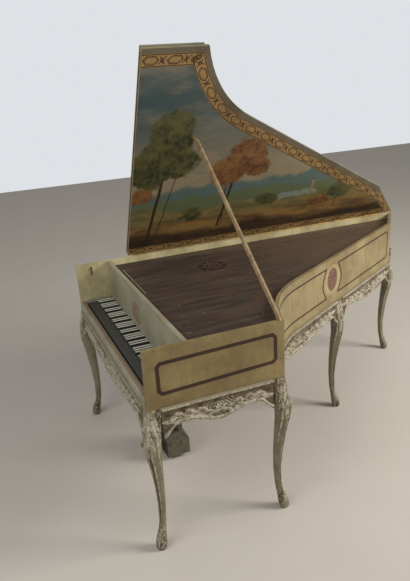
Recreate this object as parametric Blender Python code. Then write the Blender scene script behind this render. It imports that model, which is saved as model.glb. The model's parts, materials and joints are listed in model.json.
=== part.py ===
"""Grand piano in a painted case on a carved stand with cabriole legs.

Plan axes while building: x = 0 is the outer face of the spine (the long straight bass side) and x
grows to the treble; y = 0 is the front of the case and y grows to the tail; z = 0 is the floor.
At the end the root empty moves the whole so that the middle of its base is the origin. Metres.
"""
import math

import bmesh
import bpy
from mathutils import Matrix, Vector

# Fits
GAP = 0.0003                # between pieces that touch
PIN_CLEARANCE = 0.0004      # round a pin in its eye
KEY_SIDE_GAP = 0.0005       # each side of a key
KEY_BLOCK_GAP = 0.0008      # between the outermost keys and the key blocks

# Case
CASE_WIDTH = 1.300
CASE_LENGTH = 2.280
CHEEK_LENGTH = 0.655
TAIL_X = 0.250              # corner of the tail board and the bentside
TAIL_Y = 2.070
BEND_RADIUS = 0.660
BEND_START = math.radians(14.0)
BEND_STEPS = 10
CASE_TOP = 1.000
CASE_BOTTOM = 0.725
WALL = 0.020

# Stand
APRON_THICKNESS = 0.030
POST = 0.060                # square head of a leg
ARCH_Z = 0.637              # highest point of an apron's lower edge
KNEE_Z = 0.580              # lower edge where it meets a leg
CENTRE_Z = 0.603            # lower edge at the middle of an apron
PLAIN_Z = 0.655             # lower edge of the plain spine side
BENTSIDE_LEG_AT = 0.772     # along the bentside from the tail corner
BEAD = 0.012                # moulding that runs round the case's foot
FRIEZE = 0.012              # how far the carved frieze swells at the middle

# Boards inside the case
BOTTOM_THICKNESS = 0.018
KEYBED_BOTTOM = 0.675
KEYBED_THICKNESS = 0.028
KEYWELL_DEPTH = 0.400       # front of the case to the belly rail
BELLY_RAIL_THICKNESS = 0.025
SOUNDBOARD_Z = 0.872
SOUNDBOARD_THICKNESS = 0.008
LINER_LEDGE = 0.040
LINER_UPPER = 0.018
LINER_BOTTOM = 0.800
BRIDGE_HEIGHT = 0.0254
BRIDGE_WIDTH = 0.024
BRIDGE_INSET = 0.150
STRING_THICKNESS = 0.0015
STRING_BANDS = 22
FRAME_Z = 0.912
FRAME_THICKNESS = 0.012
FRAME_RIM = 0.045
FRAME_STRUT = 0.022
FRAME_BAYS = 5
COVER_Z = 0.957
COVER_THICKNESS = 0.008
COVER_FRONT = 0.2235
NAMEBOARD_FRONT = 0.185
NAMEBOARD_THICKNESS = 0.020
NAMEBOARD_BOTTOM = 0.785
WREST_DEPTH = 0.175
WREST_THICKNESS = 0.0407
KEYSLIP_THICKNESS = 0.028
KEYSLIP_TOP = 0.775

# Keys
NATURAL_PITCH = 0.0235
KEY_BLOCKS_LEAST = 0.075    # least width of both key blocks together
NATURALS = math.floor((CASE_WIDTH - 2 * WALL - KEY_BLOCKS_LEAST) / NATURAL_PITCH)
KEYS_START = 0.0445         # bass end of the lowest natural
KEYS_FRONT = 0.037
KEYS_BACK = 0.357
KEY_BOTTOM = 0.748
NATURAL_TOP = 0.770
SHARP_FRONT = 0.0887
SHARP_TOP = 0.7815
SHARP_WIDTH = 0.011
SHARP_SLOPE = 0.005
KEY_PIVOT_Y = 0.225
SINGLE_OCTAVE = 3           # octave, counted from the bass, whose keys are single pieces
KEY_FRAME_BASE = 0.0117
KEY_SHIFT = 0.0025          # sideways travel of the key frame

# Lid
LID_THICKNESS = 0.016
LID_OVERHANG = 0.004
LID_FRONT = 0.320
LID_ANGLE = math.radians(61.8)
HINGE_OUT = 0.004           # lid hinge axis outside the spine
HINGE_RADIUS = 0.0035
LEAF = 0.0015
LID_LEAF_DEPTH = 0.0125
CASE_LEAF_DEPTH = 0.024
LID_KNUCKLES = 9
FLAP_AXIS_RISE = 0.0035     # flap hinge axis above the lid's top face
FLAP_HINGE_RADIUS = 0.003
FLAP_LEAF_DEPTH = 0.021
FLAP_KNUCKLES = 7
FLAP_GAP = 0.003            # joint between the lid and the flap

# Prop stick
STICK_WIDTH = 0.016
STICK_THICKNESS = 0.014
STICK_PIN_UP_LID = 0.790    # from the lid's hinge to the stick's pin
STICK_PIN_Y = 0.660
STICK_PIN_DROP = 0.015      # pin's middle below the lid's inner face
STICK_FOOT_IN = 0.014       # foot's middle inside the cheek's outer face
STICK_FOOT_Y = 0.640
STICK_FOLD_WAY = math.radians(34.0)   # way in which it lies when folded, from the tail
STICK_PIN_TILT = math.radians(-8.0)
STICK_PIN_RADIUS = 0.003
STICK_HEAD_RADIUS = 0.0075
STICK_HEAD_LENGTH = 0.021

# Pedals
PEDAL_BOX_LOW_X = 0.500
PEDAL_BOX_HIGH_X = 0.700
PEDAL_BOX_FRONT = 0.253
PEDAL_BOX_BACK = 0.385
PEDAL_BOX_BOTTOM = 0.026
PEDAL_BOX_SPRING_Z = 0.100
PEDAL_BOX_TOP = 0.175
PEDAL_BOX_WALL = 0.012
PEDAL_AXLE_Y = 0.300
PEDAL_AXLE_Z = 0.060
PEDAL_AXLE_RADIUS = 0.004
PEDAL_TIP_Y = 0.140
PEDAL_THICKNESS = 0.016
PEDAL_SPACING = 0.060
PEDAL_TOE = 0.028
PEDAL_ARM = 0.014
ROD_Y = 0.3675
ROD_RADIUS = 0.004
ROD_HOLE_RADIUS = 0.006
LIFT_RAIL_Z = 0.733
LIFT_RAIL_HEIGHT = 0.012
LIFT_RAIL_DEPTH = 0.015
LYRE_WIDTH = 0.170
LYRE_THICKNESS = 0.020

INNER = WALL + GAP
SOUNDBOARD_TOP = SOUNDBOARD_Z + SOUNDBOARD_THICKNESS
BRIDGE_TOP = SOUNDBOARD_TOP + GAP + BRIDGE_HEIGHT
KEYBED_TOP = KEYBED_BOTTOM + KEYBED_THICKNESS
WALL_BOTTOM = CASE_BOTTOM + GAP
LID_BOTTOM = CASE_TOP + 0.0005
LID_TOP = LID_BOTTOM + LID_THICKNESS


for old in list(bpy.data.objects):
    bpy.data.objects.remove(old, do_unlink=True)

PIANO = bpy.data.collections.new("grand_piano")
CUTTERS = bpy.data.collections.new("cutters")
bpy.context.scene.collection.children.link(PIANO)
bpy.context.scene.collection.children.link(CUTTERS)

# Colour as seen (red, green, blue), roughness, metallic
FINISHES = {
    "painted_case": ((0.62, 0.56, 0.42), 0.45, 0.0),
    "painted_board": ((0.58, 0.55, 0.45), 0.45, 0.0),
    "carved_stand": ((0.62, 0.59, 0.52), 0.60, 0.0),
    "gilded_lid": ((0.60, 0.46, 0.26), 0.45, 0.0),
    "plain_wood": ((0.47, 0.36, 0.24), 0.60, 0.0),
    "cover_wood": ((0.24, 0.20, 0.16), 0.50, 0.0),
    "soundboard_wood": ((0.66, 0.53, 0.34), 0.50, 0.0),
    "iron": ((0.55, 0.43, 0.22), 0.40, 0.8),
    "steel": ((0.60, 0.60, 0.58), 0.30, 1.0),
    "brass": ((0.72, 0.56, 0.28), 0.30, 1.0),
    "black_natural": ((0.05, 0.05, 0.05), 0.30, 0.0),
    "bone_sharp": ((0.80, 0.78, 0.70), 0.35, 0.0),
    "prop_wood": ((0.65, 0.53, 0.41), 0.50, 0.0),
    "black_lacquer": ((0.06, 0.06, 0.06), 0.35, 0.0),
}


def linear(level):
    """A display colour level as the linear level that a shader takes."""
    return level / 12.92 if level <= 0.04045 else ((level + 0.055) / 1.055) ** 2.4


def finish_material(finish):
    """The material of one finish, made the first time it is asked for."""
    if finish in bpy.data.materials:
        return bpy.data.materials[finish]
    colour, roughness, metallic = FINISHES[finish]
    material = bpy.data.materials.new(finish)
    material.use_nodes = True
    shader = material.node_tree.nodes["Principled BSDF"]
    shader.inputs["Base Color"].default_value = [linear(level) for level in colour] + [1.0]
    shader.inputs["Roughness"].default_value = roughness
    shader.inputs["Metallic"].default_value = metallic
    return material


ROOT = bpy.data.objects.new("piano_root", None)
PIANO.objects.link(ROOT)
PIVOT_AT = {ROOT.name: Vector((0.0, 0.0, 0.0))}


def pivot(name, at, parent=ROOT):
    """An empty on a joint's axis; at is its place with the lid shut and the flap unfolded."""
    empty = bpy.data.objects.new(name, None)
    PIANO.objects.link(empty)
    empty.parent = parent
    empty.location = Vector(at) - PIVOT_AT[parent.name]
    PIVOT_AT[name] = Vector(at)
    return empty


def place(name, mesh, finish, holder):
    """An object of a mesh that is drawn in plan axes, held by the root or by a pivot."""
    piece = bpy.data.objects.new(name, mesh)
    PIANO.objects.link(piece)
    mesh.materials.append(finish_material(finish))
    piece.parent = holder
    piece.location = -PIVOT_AT[holder.name]
    return piece


def finished_mesh(name, bm, smooth_angle=None):
    """A mesh from a bmesh, with its faces turned outwards."""
    bmesh.ops.recalc_face_normals(bm, faces=bm.faces)
    if bm.calc_volume(signed=True) < 0:
        bmesh.ops.reverse_faces(bm, faces=bm.faces)
    mesh = bpy.data.meshes.new(name)
    bm.to_mesh(mesh)
    bm.free()
    if smooth_angle:
        mesh.shade_smooth()
        mesh.set_sharp_from_angle(angle=math.radians(smooth_angle))
    return mesh


def box_mesh(name, low, high):
    low, high = Vector(low), Vector(high)
    bm = bmesh.new()
    bmesh.ops.create_cube(bm, size=1.0)
    size = high - low
    bmesh.ops.scale(bm, vec=size, verts=bm.verts)
    bmesh.ops.translate(bm, vec=(low + high) / 2, verts=bm.verts)
    return finished_mesh(name, bm)


def box(name, low, high, finish, holder=ROOT):
    return place(name, box_mesh(name, low, high), finish, holder)


def outline_mesh(name, outline, low, high, axis="Z", holes=()):
    """A flat outline filled and given thickness from low to high along an axis.

    The outline's two coordinates are x, y for axis Z; y, z for axis X; and x, z for axis Y.
    It is filled while turned by an odd angle, because the fill leaves slits where several
    corners lie on one level, and turned back afterwards.
    """
    odd_turn = Matrix.Rotation(0.3, 3, "Z")
    curve = bpy.data.curves.new(name, "CURVE")
    curve.dimensions = "2D"
    curve.fill_mode = "BOTH"
    curve.extrude = (high - low) / 2
    for loop in (outline, *holes):
        spline = curve.splines.new("POLY")
        spline.points.add(len(loop) - 1)
        for point, (u, v) in zip(spline.points, loop):
            point.co = (*(odd_turn @ Vector((u, v, 0.0))), 1.0)
        spline.use_cyclic_u = True
    guide = bpy.data.objects.new(name + "_outline", curve)
    bpy.context.scene.collection.objects.link(guide)
    mesh = bpy.data.meshes.new_from_object(guide.evaluated_get(bpy.context.evaluated_depsgraph_get()))
    bpy.data.objects.remove(guide)
    middle = (low + high) / 2
    columns = {
        "Z": ((1, 0, 0), (0, 1, 0), (0, 0, 1)),
        "X": ((0, 1, 0), (0, 0, 1), (1, 0, 0)),
        "Y": ((1, 0, 0), (0, 0, 1), (0, 1, 0)),
    }[axis]
    bm = bmesh.new()
    bm.from_mesh(mesh)
    bmesh.ops.remove_doubles(bm, verts=bm.verts, dist=1e-6)
    if not holes:
        bmesh.ops.dissolve_limit(bm, angle_limit=0.001, verts=bm.verts, edges=bm.edges)
    turn = Matrix(columns).transposed()
    turn_back = odd_turn.inverted()
    for vert in bm.verts:
        vert.co = turn @ (turn_back @ vert.co + Vector((0, 0, middle)))
    bpy.data.meshes.remove(mesh)
    return finished_mesh(name, bm)


def board(name, outline, low, high, finish, holder=ROOT, axis="Z", holes=()):
    return place(name, outline_mesh(name, outline, low, high, axis, holes), finish, holder)


def loft_mesh(name, rings, smooth_angle=None):
    """A closed body through rings of as many points each."""
    bm = bmesh.new()
    loops = [[bm.verts.new(point) for point in ring] for ring in rings]
    count = len(loops[0])
    for lower, upper in zip(loops, loops[1:]):
        for i in range(count):
            j = (i + 1) % count
            bm.faces.new((lower[i], lower[j], upper[j], upper[i]))
    bm.faces.new(loops[0][::-1])
    bm.faces.new(loops[-1])
    return finished_mesh(name, bm, smooth_angle)


def rod_mesh(name, start, end, radius, sides=12, end_radius=None):
    """A round bar between two points, tapered where end_radius is given."""
    start, end = Vector(start), Vector(end)
    along = end - start
    bm = bmesh.new()
    bmesh.ops.create_cone(bm, cap_ends=True, segments=sides, radius1=radius,
                          radius2=radius if end_radius is None else end_radius, depth=along.length)
    turn = along.to_track_quat("Z", "Y").to_matrix().to_4x4()
    bmesh.ops.transform(bm, matrix=Matrix.Translation((start + end) / 2) @ turn, verts=bm.verts)
    return finished_mesh(name, bm, 40)


def combine(piece, meshes, operation):
    """Cut the meshes out of a piece, or join them to it, with one Boolean modifier each."""
    for mesh in meshes:
        tool = bpy.data.objects.new(mesh.name, mesh)
        CUTTERS.objects.link(tool)
        tool.parent = piece.parent
        tool.location = piece.location
        tool.hide_render = True
        tool.display_type = "WIRE"
        modifier = piece.modifiers.new(mesh.name, "BOOLEAN")
        modifier.operation = operation
        modifier.object = tool


# Plan of the case: points and ways at a distance inside its outer faces

def flat(x, y):
    return Vector((x, y))


TAIL_POINT = flat(TAIL_X, TAIL_Y)
SPINE_POINT = flat(0.0, CASE_LENGTH)
BEND_CENTRE = flat(CASE_WIDTH + BEND_RADIUS * math.sin(BEND_START),
                   CHEEK_LENGTH + BEND_RADIUS * math.cos(BEND_START))
FROM_TAIL = BEND_CENTRE - TAIL_POINT
STRAIGHT_LENGTH = math.sqrt(FROM_TAIL.length ** 2 - BEND_RADIUS ** 2)
BEND_END = math.atan2(FROM_TAIL.x, FROM_TAIL.y) - math.atan2(STRAIGHT_LENGTH, BEND_RADIUS)
STRAIGHT_WAY = flat(math.cos(BEND_END), -math.sin(BEND_END))     # from the tail corner to the bend
STRAIGHT_OUT = flat(math.sin(BEND_END), math.cos(BEND_END))
TAIL_WAY = (TAIL_POINT - SPINE_POINT).normalized()               # from the spine to the tail corner
TAIL_OUT = flat(-TAIL_WAY.y, TAIL_WAY.x)
TAIL_LENGTH = (TAIL_POINT - SPINE_POINT).length
SPINE_WAY = flat(0.0, 1.0)
BENT_START_WAY = flat(-math.cos(BEND_START), math.sin(BEND_START))


def meet(p, u, q, v):
    """Where the line through p along u meets the line through q along v."""
    return p + u * ((q - p).cross(v) / u.cross(v))


def bend_point(angle, inset):
    reach = BEND_RADIUS + inset
    return BEND_CENTRE - flat(math.sin(angle), math.cos(angle)) * reach


def bend_start(inset):
    """Inner corner of the cheek and the bentside."""
    angle = math.asin((BEND_RADIUS * math.sin(BEND_START) + inset) / (BEND_RADIUS + inset))
    return bend_point(angle, inset)


def tail_corner(inset):
    return meet(TAIL_POINT - TAIL_OUT * inset, TAIL_WAY, TAIL_POINT - STRAIGHT_OUT * inset, STRAIGHT_WAY)


def spine_corner(inset):
    return meet(flat(inset, 0.0), SPINE_WAY, SPINE_POINT - TAIL_OUT * inset, TAIL_WAY)


def bend_angles():
    """Angles along the curved part, after its start."""
    step = (BEND_END - BEND_START) / BEND_STEPS
    return [BEND_START + step * i for i in range(1, BEND_STEPS + 1)]


def bent_line(inset):
    """Points from the cheek's corner round the bend to the tail corner."""
    return [bend_start(inset), *[bend_point(angle, inset) for angle in bend_angles()], tail_corner(inset)]


def plan(inset, front):
    """Outline of the whole case at an inset, from the line y = front back."""
    return [flat(inset, front), flat(CASE_WIDTH - inset, front), *bent_line(inset), spine_corner(inset)]


def bentside_y(x, inset):
    """How far back the case reaches at x, at an inset from its outer faces."""
    reach = BEND_RADIUS + inset
    if x > bend_point(BEND_END, inset).x:
        return BEND_CENTRE.y - math.sqrt(reach ** 2 - (BEND_CENTRE.x - x) ** 2)
    if x > tail_corner(inset).x:
        return meet(flat(x, 0.0), SPINE_WAY, tail_corner(inset), STRAIGHT_WAY).y
    return meet(flat(x, 0.0), SPINE_WAY, tail_corner(inset), TAIL_WAY).y


def pulled_back(outer, inner, way):
    """Both ends of a mitre moved along a board, by half a gap measured across the joint."""
    mitre = (inner - outer).normalized()
    step = GAP / 2 / abs(mitre.cross(way))
    return outer + way * step, inner + way * step


# Case walls

def build_walls():
    """Spine, tail, bentside and cheek, mitred at the corners, standing on the stand's aprons."""
    low, high = WALL_BOTTOM, CASE_TOP
    outer, inner = pulled_back(spine_corner(0), spine_corner(WALL), -SPINE_WAY)
    board("spine", [flat(0, 0), flat(WALL, 0), inner, outer], low, high, "painted_case")
    first = pulled_back(spine_corner(0), spine_corner(WALL), TAIL_WAY)
    last = pulled_back(tail_corner(0), tail_corner(WALL), -TAIL_WAY)
    board("tail", [first[0], first[1], last[1], last[0]], low, high, "painted_case")
    outer_line, inner_line = bent_line(0), bent_line(WALL)
    outer_line[0], inner_line[0] = pulled_back(outer_line[0], inner_line[0], BENT_START_WAY)
    outer_line[-1], inner_line[-1] = pulled_back(outer_line[-1], inner_line[-1], STRAIGHT_WAY)
    board("bentside", outer_line + inner_line[::-1], low, high, "painted_case")
    outer, inner = pulled_back(bend_start(0), bend_start(WALL), -SPINE_WAY)
    cheek = [flat(CASE_WIDTH - WALL, 0), flat(CASE_WIDTH, 0), outer, inner]
    board("cheek", cheek, low, high, "painted_case")


def build_floor_boards():
    """Bottom board on the aprons' ledges, keybed between them, belly rail across the case."""
    ledge = APRON_THICKNESS + GAP
    post = POST + GAP
    bottom = plan(INNER, KEYWELL_DEPTH + GAP)
    board("bottom_board", bottom, WALL_BOTTOM, WALL_BOTTOM + BOTTOM_THICKNESS, "plain_wood")
    keybed = [
        flat(post, ledge), flat(CASE_WIDTH - post, ledge),
        flat(CASE_WIDTH - post, post), flat(CASE_WIDTH - ledge, post),
        flat(CASE_WIDTH - ledge, KEYWELL_DEPTH), flat(ledge, KEYWELL_DEPTH),
        flat(ledge, post), flat(post, post),
    ]
    piece = board("keybed", keybed, KEYBED_BOTTOM, KEYBED_TOP, "plain_wood")
    holes = []
    for side, x in pedal_places():
        holes.append(rod_mesh("rod_hole_" + side, (x, ROD_Y, KEYBED_BOTTOM - 0.01),
                              (x, ROD_Y, KEYBED_TOP + 0.01), ROD_HOLE_RADIUS))
    combine(piece, holes, "DIFFERENCE")
    box("belly_rail",
        (INNER, KEYWELL_DEPTH + GAP, WALL_BOTTOM + BOTTOM_THICKNESS + GAP),
        (CASE_WIDTH - INNER, KEYWELL_DEPTH + GAP + BELLY_RAIL_THICKNESS, SOUNDBOARD_Z - GAP), "plain_wood")


def build_keywell():
    """Nameboard, keyslip with a rounded top, and the key blocks at both ends of the keys."""
    box("nameboard",
        (INNER, NAMEBOARD_FRONT, NAMEBOARD_BOTTOM),
        (CASE_WIDTH - INNER, NAMEBOARD_FRONT + NAMEBOARD_THICKNESS, CASE_TOP - 0.001), "painted_board")
    chamfer = 0.004
    slip = [
        (0.0, WALL_BOTTOM), (KEYSLIP_THICKNESS, WALL_BOTTOM),
        (KEYSLIP_THICKNESS, KEYSLIP_TOP - chamfer), (KEYSLIP_THICKNESS - chamfer, KEYSLIP_TOP),
        (chamfer * 1.5, KEYSLIP_TOP), (chamfer * 0.4, KEYSLIP_TOP - chamfer * 0.6),
        (0.0, KEYSLIP_TOP - chamfer * 1.5),
    ]
    board("keyslip", slip, INNER, CASE_WIDTH - INNER, "painted_board", axis="X")
    keys_end = KEYS_START + NATURALS * NATURAL_PITCH
    front, back = KEYSLIP_THICKNESS + GAP, NAMEBOARD_FRONT - GAP
    rounding = 0.010
    profile = [
        (front, WALL_BOTTOM), (back, WALL_BOTTOM), (back, NAMEBOARD_BOTTOM),
        (front + rounding, NAMEBOARD_BOTTOM), (front + rounding * 0.3, NAMEBOARD_BOTTOM - rounding * 0.3),
        (front, NAMEBOARD_BOTTOM - rounding),
    ]
    board("key_block_bass", profile, INNER, KEYS_START - KEY_BLOCK_GAP, "painted_board", axis="X")
    treble = keys_end + KEY_SHIFT + KEY_BLOCK_GAP
    board("key_block_treble", profile, treble, CASE_WIDTH - INNER, "painted_board", axis="X")


def liner_section(line):
    """A liner's cross-section at one station: a ledge with a taller strip against the wall."""
    ledge, upper = INNER + LINER_LEDGE, INNER + LINER_UPPER
    low, shelf, top = LINER_BOTTOM, SOUNDBOARD_Z - GAP, COVER_Z - GAP
    profile = [(INNER, low), (ledge, low + 0.02), (ledge, shelf), (upper, shelf), (upper, top), (INNER, top)]
    return [(*line(inset), z) for inset, z in profile]


def build_liners():
    """Ledges that carry the soundboard, the iron frame's edge and the cover board."""
    front = KEYWELL_DEPTH + BELLY_RAIL_THICKNESS + 2 * GAP
    spine_lines = [
        lambda inset: flat(inset, front),
        lambda inset: spine_corner(inset) - SPINE_WAY * 0.06,
    ]
    mesh = loft_mesh("spine_liner", [liner_section(line) for line in spine_lines])
    place("spine_liner", mesh, "plain_wood", ROOT)
    bent_lines = [lambda inset: flat(CASE_WIDTH - inset, front), bend_start]
    bent_lines += [lambda inset, angle=angle: bend_point(angle, inset) for angle in bend_angles()]
    bent_lines += [tail_corner, lambda inset: tail_corner(inset) - TAIL_WAY * (TAIL_LENGTH * 0.5)]
    mesh = loft_mesh("bentside_liner", [liner_section(line) for line in bent_lines])
    place("bentside_liner", mesh, "plain_wood", ROOT)


def build_sounding_parts():
    """Soundboard, bridge, strings, wrest plank and the iron frame over them."""
    inset = INNER + LINER_UPPER + GAP
    rear = KEYWELL_DEPTH + GAP
    board("soundboard", plan(inset, rear), SOUNDBOARD_Z, SOUNDBOARD_TOP, "soundboard_wood")

    def bridge_section(line):
        low, high = BRIDGE_INSET, BRIDGE_INSET + BRIDGE_WIDTH
        chamfer = BRIDGE_WIDTH / 4
        foot = SOUNDBOARD_TOP + GAP
        profile = [(low, foot), (high, foot), (high - chamfer, BRIDGE_TOP), (low + chamfer, BRIDGE_TOP)]
        return [(*line(inset), z) for inset, z in profile]

    lines = [lambda inset, angle=angle: bend_point(angle, inset) for angle in bend_angles()[1:]]
    lines += [lambda inset: tail_corner(inset) + STRAIGHT_WAY * 0.1]
    place("bridge", loft_mesh("bridge", [bridge_section(line) for line in lines]), "plain_wood", ROOT)

    front = COVER_FRONT
    box("wrest_plank",
        (INNER, KEYWELL_DEPTH - WREST_DEPTH, BRIDGE_TOP - WREST_THICKNESS),
        (CASE_WIDTH - INNER, KEYWELL_DEPTH, BRIDGE_TOP), "plain_wood")

    string_z = BRIDGE_TOP + GAP
    string_inset = inset + 0.012
    start = front + 0.040
    pitch = (CASE_WIDTH - 2 * string_inset) / STRING_BANDS
    slots = []
    for i in range(STRING_BANDS):
        left = string_inset + pitch * (i + 0.30)
        right = string_inset + pitch * (i + 0.70)
        margin = string_inset + 0.012
        slots.append([
            flat(left, start + 0.03), flat(right, start + 0.03),
            flat(right, bentside_y(right, margin)), flat(left, bentside_y(left, margin)),
        ])
    outline = plan(string_inset, start)
    board("strings", outline, string_z, string_z + STRING_THICKNESS, "steel", holes=slots)

    bays = []
    left = inset + FRAME_RIM
    width = (CASE_WIDTH - 2 * left - (FRAME_BAYS - 1) * FRAME_STRUT) / FRAME_BAYS
    for i in range(FRAME_BAYS):
        low = left + i * (width + FRAME_STRUT)
        high = low + width
        margin = inset + FRAME_RIM
        bay_front = KEYWELL_DEPTH + FRAME_RIM
        bays.append([
            flat(low, bay_front), flat(high, bay_front),
            flat(high, bentside_y(high, margin)), flat(low, bentside_y(low, margin)),
        ])
    board("iron_frame", plan(inset, front), FRAME_Z, FRAME_Z + FRAME_THICKNESS, "iron", holes=bays)
    cover = plan(INNER + 0.001, front)
    board("cover_board", cover, COVER_Z, COVER_Z + COVER_THICKNESS, "cover_wood")


# Stand

def smooth(value):
    value = min(max(value, 0.0), 1.0)
    return value * value * (3 - 2 * value)


def apron_section(line, along, length, plain):
    """A cross-section of an apron, along metres from one end of its length."""
    end = min(along, length - along)
    rise = smooth(end / 0.075)
    fall = smooth((end - 0.120) / max(length / 2 - 0.120, 0.05))
    low = KNEE_Z + (ARCH_Z - KNEE_Z) * rise + (CENTRE_Z - ARCH_Z) * fall
    swell = 0.004 + (FRIEZE - 0.004) * fall
    if plain:
        low, swell = PLAIN_Z, 0.002
    top = CASE_BOTTOM
    middle = (low + top) / 2
    profile = [
        (-APRON_THICKNESS, top), (0.0, top), (BEAD * 0.9, top - 0.001), (BEAD, top - 0.008),
        (BEAD * 0.4, top - 0.016), (0.002, top - 0.020), (swell, middle + 0.006), (swell, middle - 0.012),
        (0.003, low + 0.020), (0.009, low + 0.013), (0.009, low + 0.004), (0.002, low),
        (-APRON_THICKNESS, low),
    ]
    return [(*line(-out), z) for out, z in profile]


def apron(name, runs, plain=False):
    """An apron along runs of stations; a run is its length and a line for each share of it."""
    rings = []
    total = sum(length for length, _, _ in runs)
    done = 0.0
    for length, steps, line_at in runs:
        first = 1 if rings else 0
        for i in range(first, steps + 1):
            share = i / steps
            rings.append(apron_section(line_at(share), done + share * length, total, plain))
        done += length
    place(name, loft_mesh(name, rings, 35), "carved_stand", ROOT)


def between(line_a, line_b):
    """Stations on the straight between two lines across the wall."""
    return lambda share: lambda inset: line_a(inset).lerp(line_b(inset), share)


CHEEK_CORNER = flat(CASE_WIDTH, CHEEK_LENGTH)


def straight_line(distance):
    """Line across the bentside's straight run, a distance from the tail corner."""
    return lambda inset: TAIL_POINT + STRAIGHT_WAY * distance - STRAIGHT_OUT * inset


def tail_line(distance):
    """Line across the tail board, a distance from the spine."""
    return lambda inset: SPINE_POINT + TAIL_WAY * distance - TAIL_OUT * inset


def build_aprons():
    """Carved boards between the legs under the case, arched at the foot; plain along the spine."""
    post = POST + GAP
    half = POST / 2 + GAP
    front = [(CASE_WIDTH - 2 * post, 28,
              between(lambda inset: flat(post, inset), lambda inset: flat(CASE_WIDTH - post, inset)))]
    apron("front_apron", front)
    cheek = [(CHEEK_LENGTH - 2 * post, 18,
              between(lambda inset: flat(CASE_WIDTH - inset, post),
                      lambda inset: flat(CASE_WIDTH - inset, CHEEK_LENGTH - post)))]
    apron("cheek_apron", cheek)
    start = BEND_START + post / BEND_RADIUS
    leg_end = straight_line(BENTSIDE_LEG_AT + half)

    def bend_end(inset):
        return bend_point(BEND_END, inset)

    bent = [
        (BEND_RADIUS * (BEND_END - start), 12,
         lambda share: lambda inset: bend_point(start + (BEND_END - start) * share, inset)),
        (STRAIGHT_LENGTH - BENTSIDE_LEG_AT - half, 9, between(bend_end, leg_end)),
    ]
    apron("bentside_front_apron", bent)
    tail_leg = TAIL_LENGTH / 2
    rear = [
        (BENTSIDE_LEG_AT - half, 16, between(straight_line(BENTSIDE_LEG_AT - half), tail_corner)),
        (TAIL_LENGTH - tail_leg - half, 5, between(tail_corner, tail_line(tail_leg + half))),
    ]
    apron("bentside_rear_apron", rear)
    plain = [
        (tail_leg - half, 1, between(tail_line(tail_leg - half), spine_corner)),
        (CASE_LENGTH - post, 2, between(spine_corner, lambda inset: flat(inset, post))),
    ]
    apron("spine_apron", plain, plain=True)


# Height, how far forward of the head's middle, half the width, and how square the section is
LEG_LEVELS = (
    (CASE_BOTTOM, 0.000, POST / 2, 1.0),
    (0.660, 0.008, 0.0325, 0.80),
    (0.615, 0.018, 0.0370, 0.50),
    (0.570, 0.024, 0.0385, 0.30),
    (0.510, 0.022, 0.0345, 0.25),
    (0.420, 0.008, 0.0275, 0.20),
    (0.320, -0.004, 0.0215, 0.20),
    (0.220, -0.009, 0.0175, 0.20),
    (0.130, -0.004, 0.0160, 0.20),
    (0.090, 0.006, 0.0175, 0.20),
    (0.062, 0.016, 0.0225, 0.20),
    (0.032, 0.024, 0.0260, 0.20),
    (0.012, 0.027, 0.0240, 0.20),
    (0.000, 0.027, 0.0200, 0.20),
)
LEG_SIDES = 16
APRON_REACH = KNEE_Z - 0.030     # above this a leg keeps clear of the aprons beside it


def leg(name, centre, side_a, side_b, out, corner):
    """A cabriole leg with a square head; side_a and side_b run from the head's middle inwards.

    out is the way in which its knee and foot stand forward. At a corner both sides have an
    apron beside them; elsewhere the aprons lie on both sides along side_a only.
    """
    across = flat(-out.y, out.x)
    round_a = (across - out).normalized()
    round_b = (-across - out).normalized()
    if round_a.dot(side_a) < round_b.dot(side_a):
        round_a, round_b = round_b, round_a
    head = POST / 2
    skew = Matrix((side_a, side_b)).transposed().inverted()
    rings = []
    for z, forward, half, square in LEG_LEVELS:
        ring = []
        for i in range(LEG_SIDES):
            angle = 2 * math.pi * i / LEG_SIDES
            u, v = math.cos(angle), math.sin(angle)
            stretch = half / max(abs(u), abs(v))
            spot = (round_a * u + round_b * v) * half * (1 - square)
            spot += (side_a * u + side_b * v) * stretch * square
            spot += out * forward
            if z > APRON_REACH:
                a, b = skew @ spot
                a = min(a, head)
                if corner:
                    b = min(b, head)
                else:
                    a = max(a, -head)
                spot = side_a * a + side_b * b
            ring.append((*(centre + spot), z))
        rings.append(ring)
    place(name, loft_mesh(name, rings, 50), "carved_stand", ROOT)


def build_legs():
    head = POST / 2
    right, back = flat(1.0, 0.0), flat(0.0, 1.0)
    leg("front_bass_leg", flat(head, head), right, back, -(right + back).normalized(), True)
    leg("front_treble_leg", flat(CASE_WIDTH - head, head), -right, back,
        (right - back).normalized(), True)
    inwards = BENT_START_WAY
    centre = CHEEK_CORNER + (inwards - back) * head
    leg("cheek_rear_leg", centre, -back, inwards, (back - inwards).normalized(), True)
    at = straight_line(BENTSIDE_LEG_AT)
    leg("bentside_leg", at(head), STRAIGHT_WAY, -STRAIGHT_OUT, STRAIGHT_OUT, False)
    leg("tail_leg", tail_line(TAIL_LENGTH / 2)(head), TAIL_WAY, -TAIL_OUT, TAIL_OUT, False)


# Keys

SHARP_AFTER = (True, True, False, True, True, True, False)    # after C, D, E, F, G, A, B
KEY_NAMES = ("c", "d", "e", "f", "g", "a", "b")


def natural_low(index):
    return KEYS_START + index * NATURAL_PITCH


def has_sharp_after(index):
    return SHARP_AFTER[index % 7] and index + 1 < NATURALS


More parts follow.
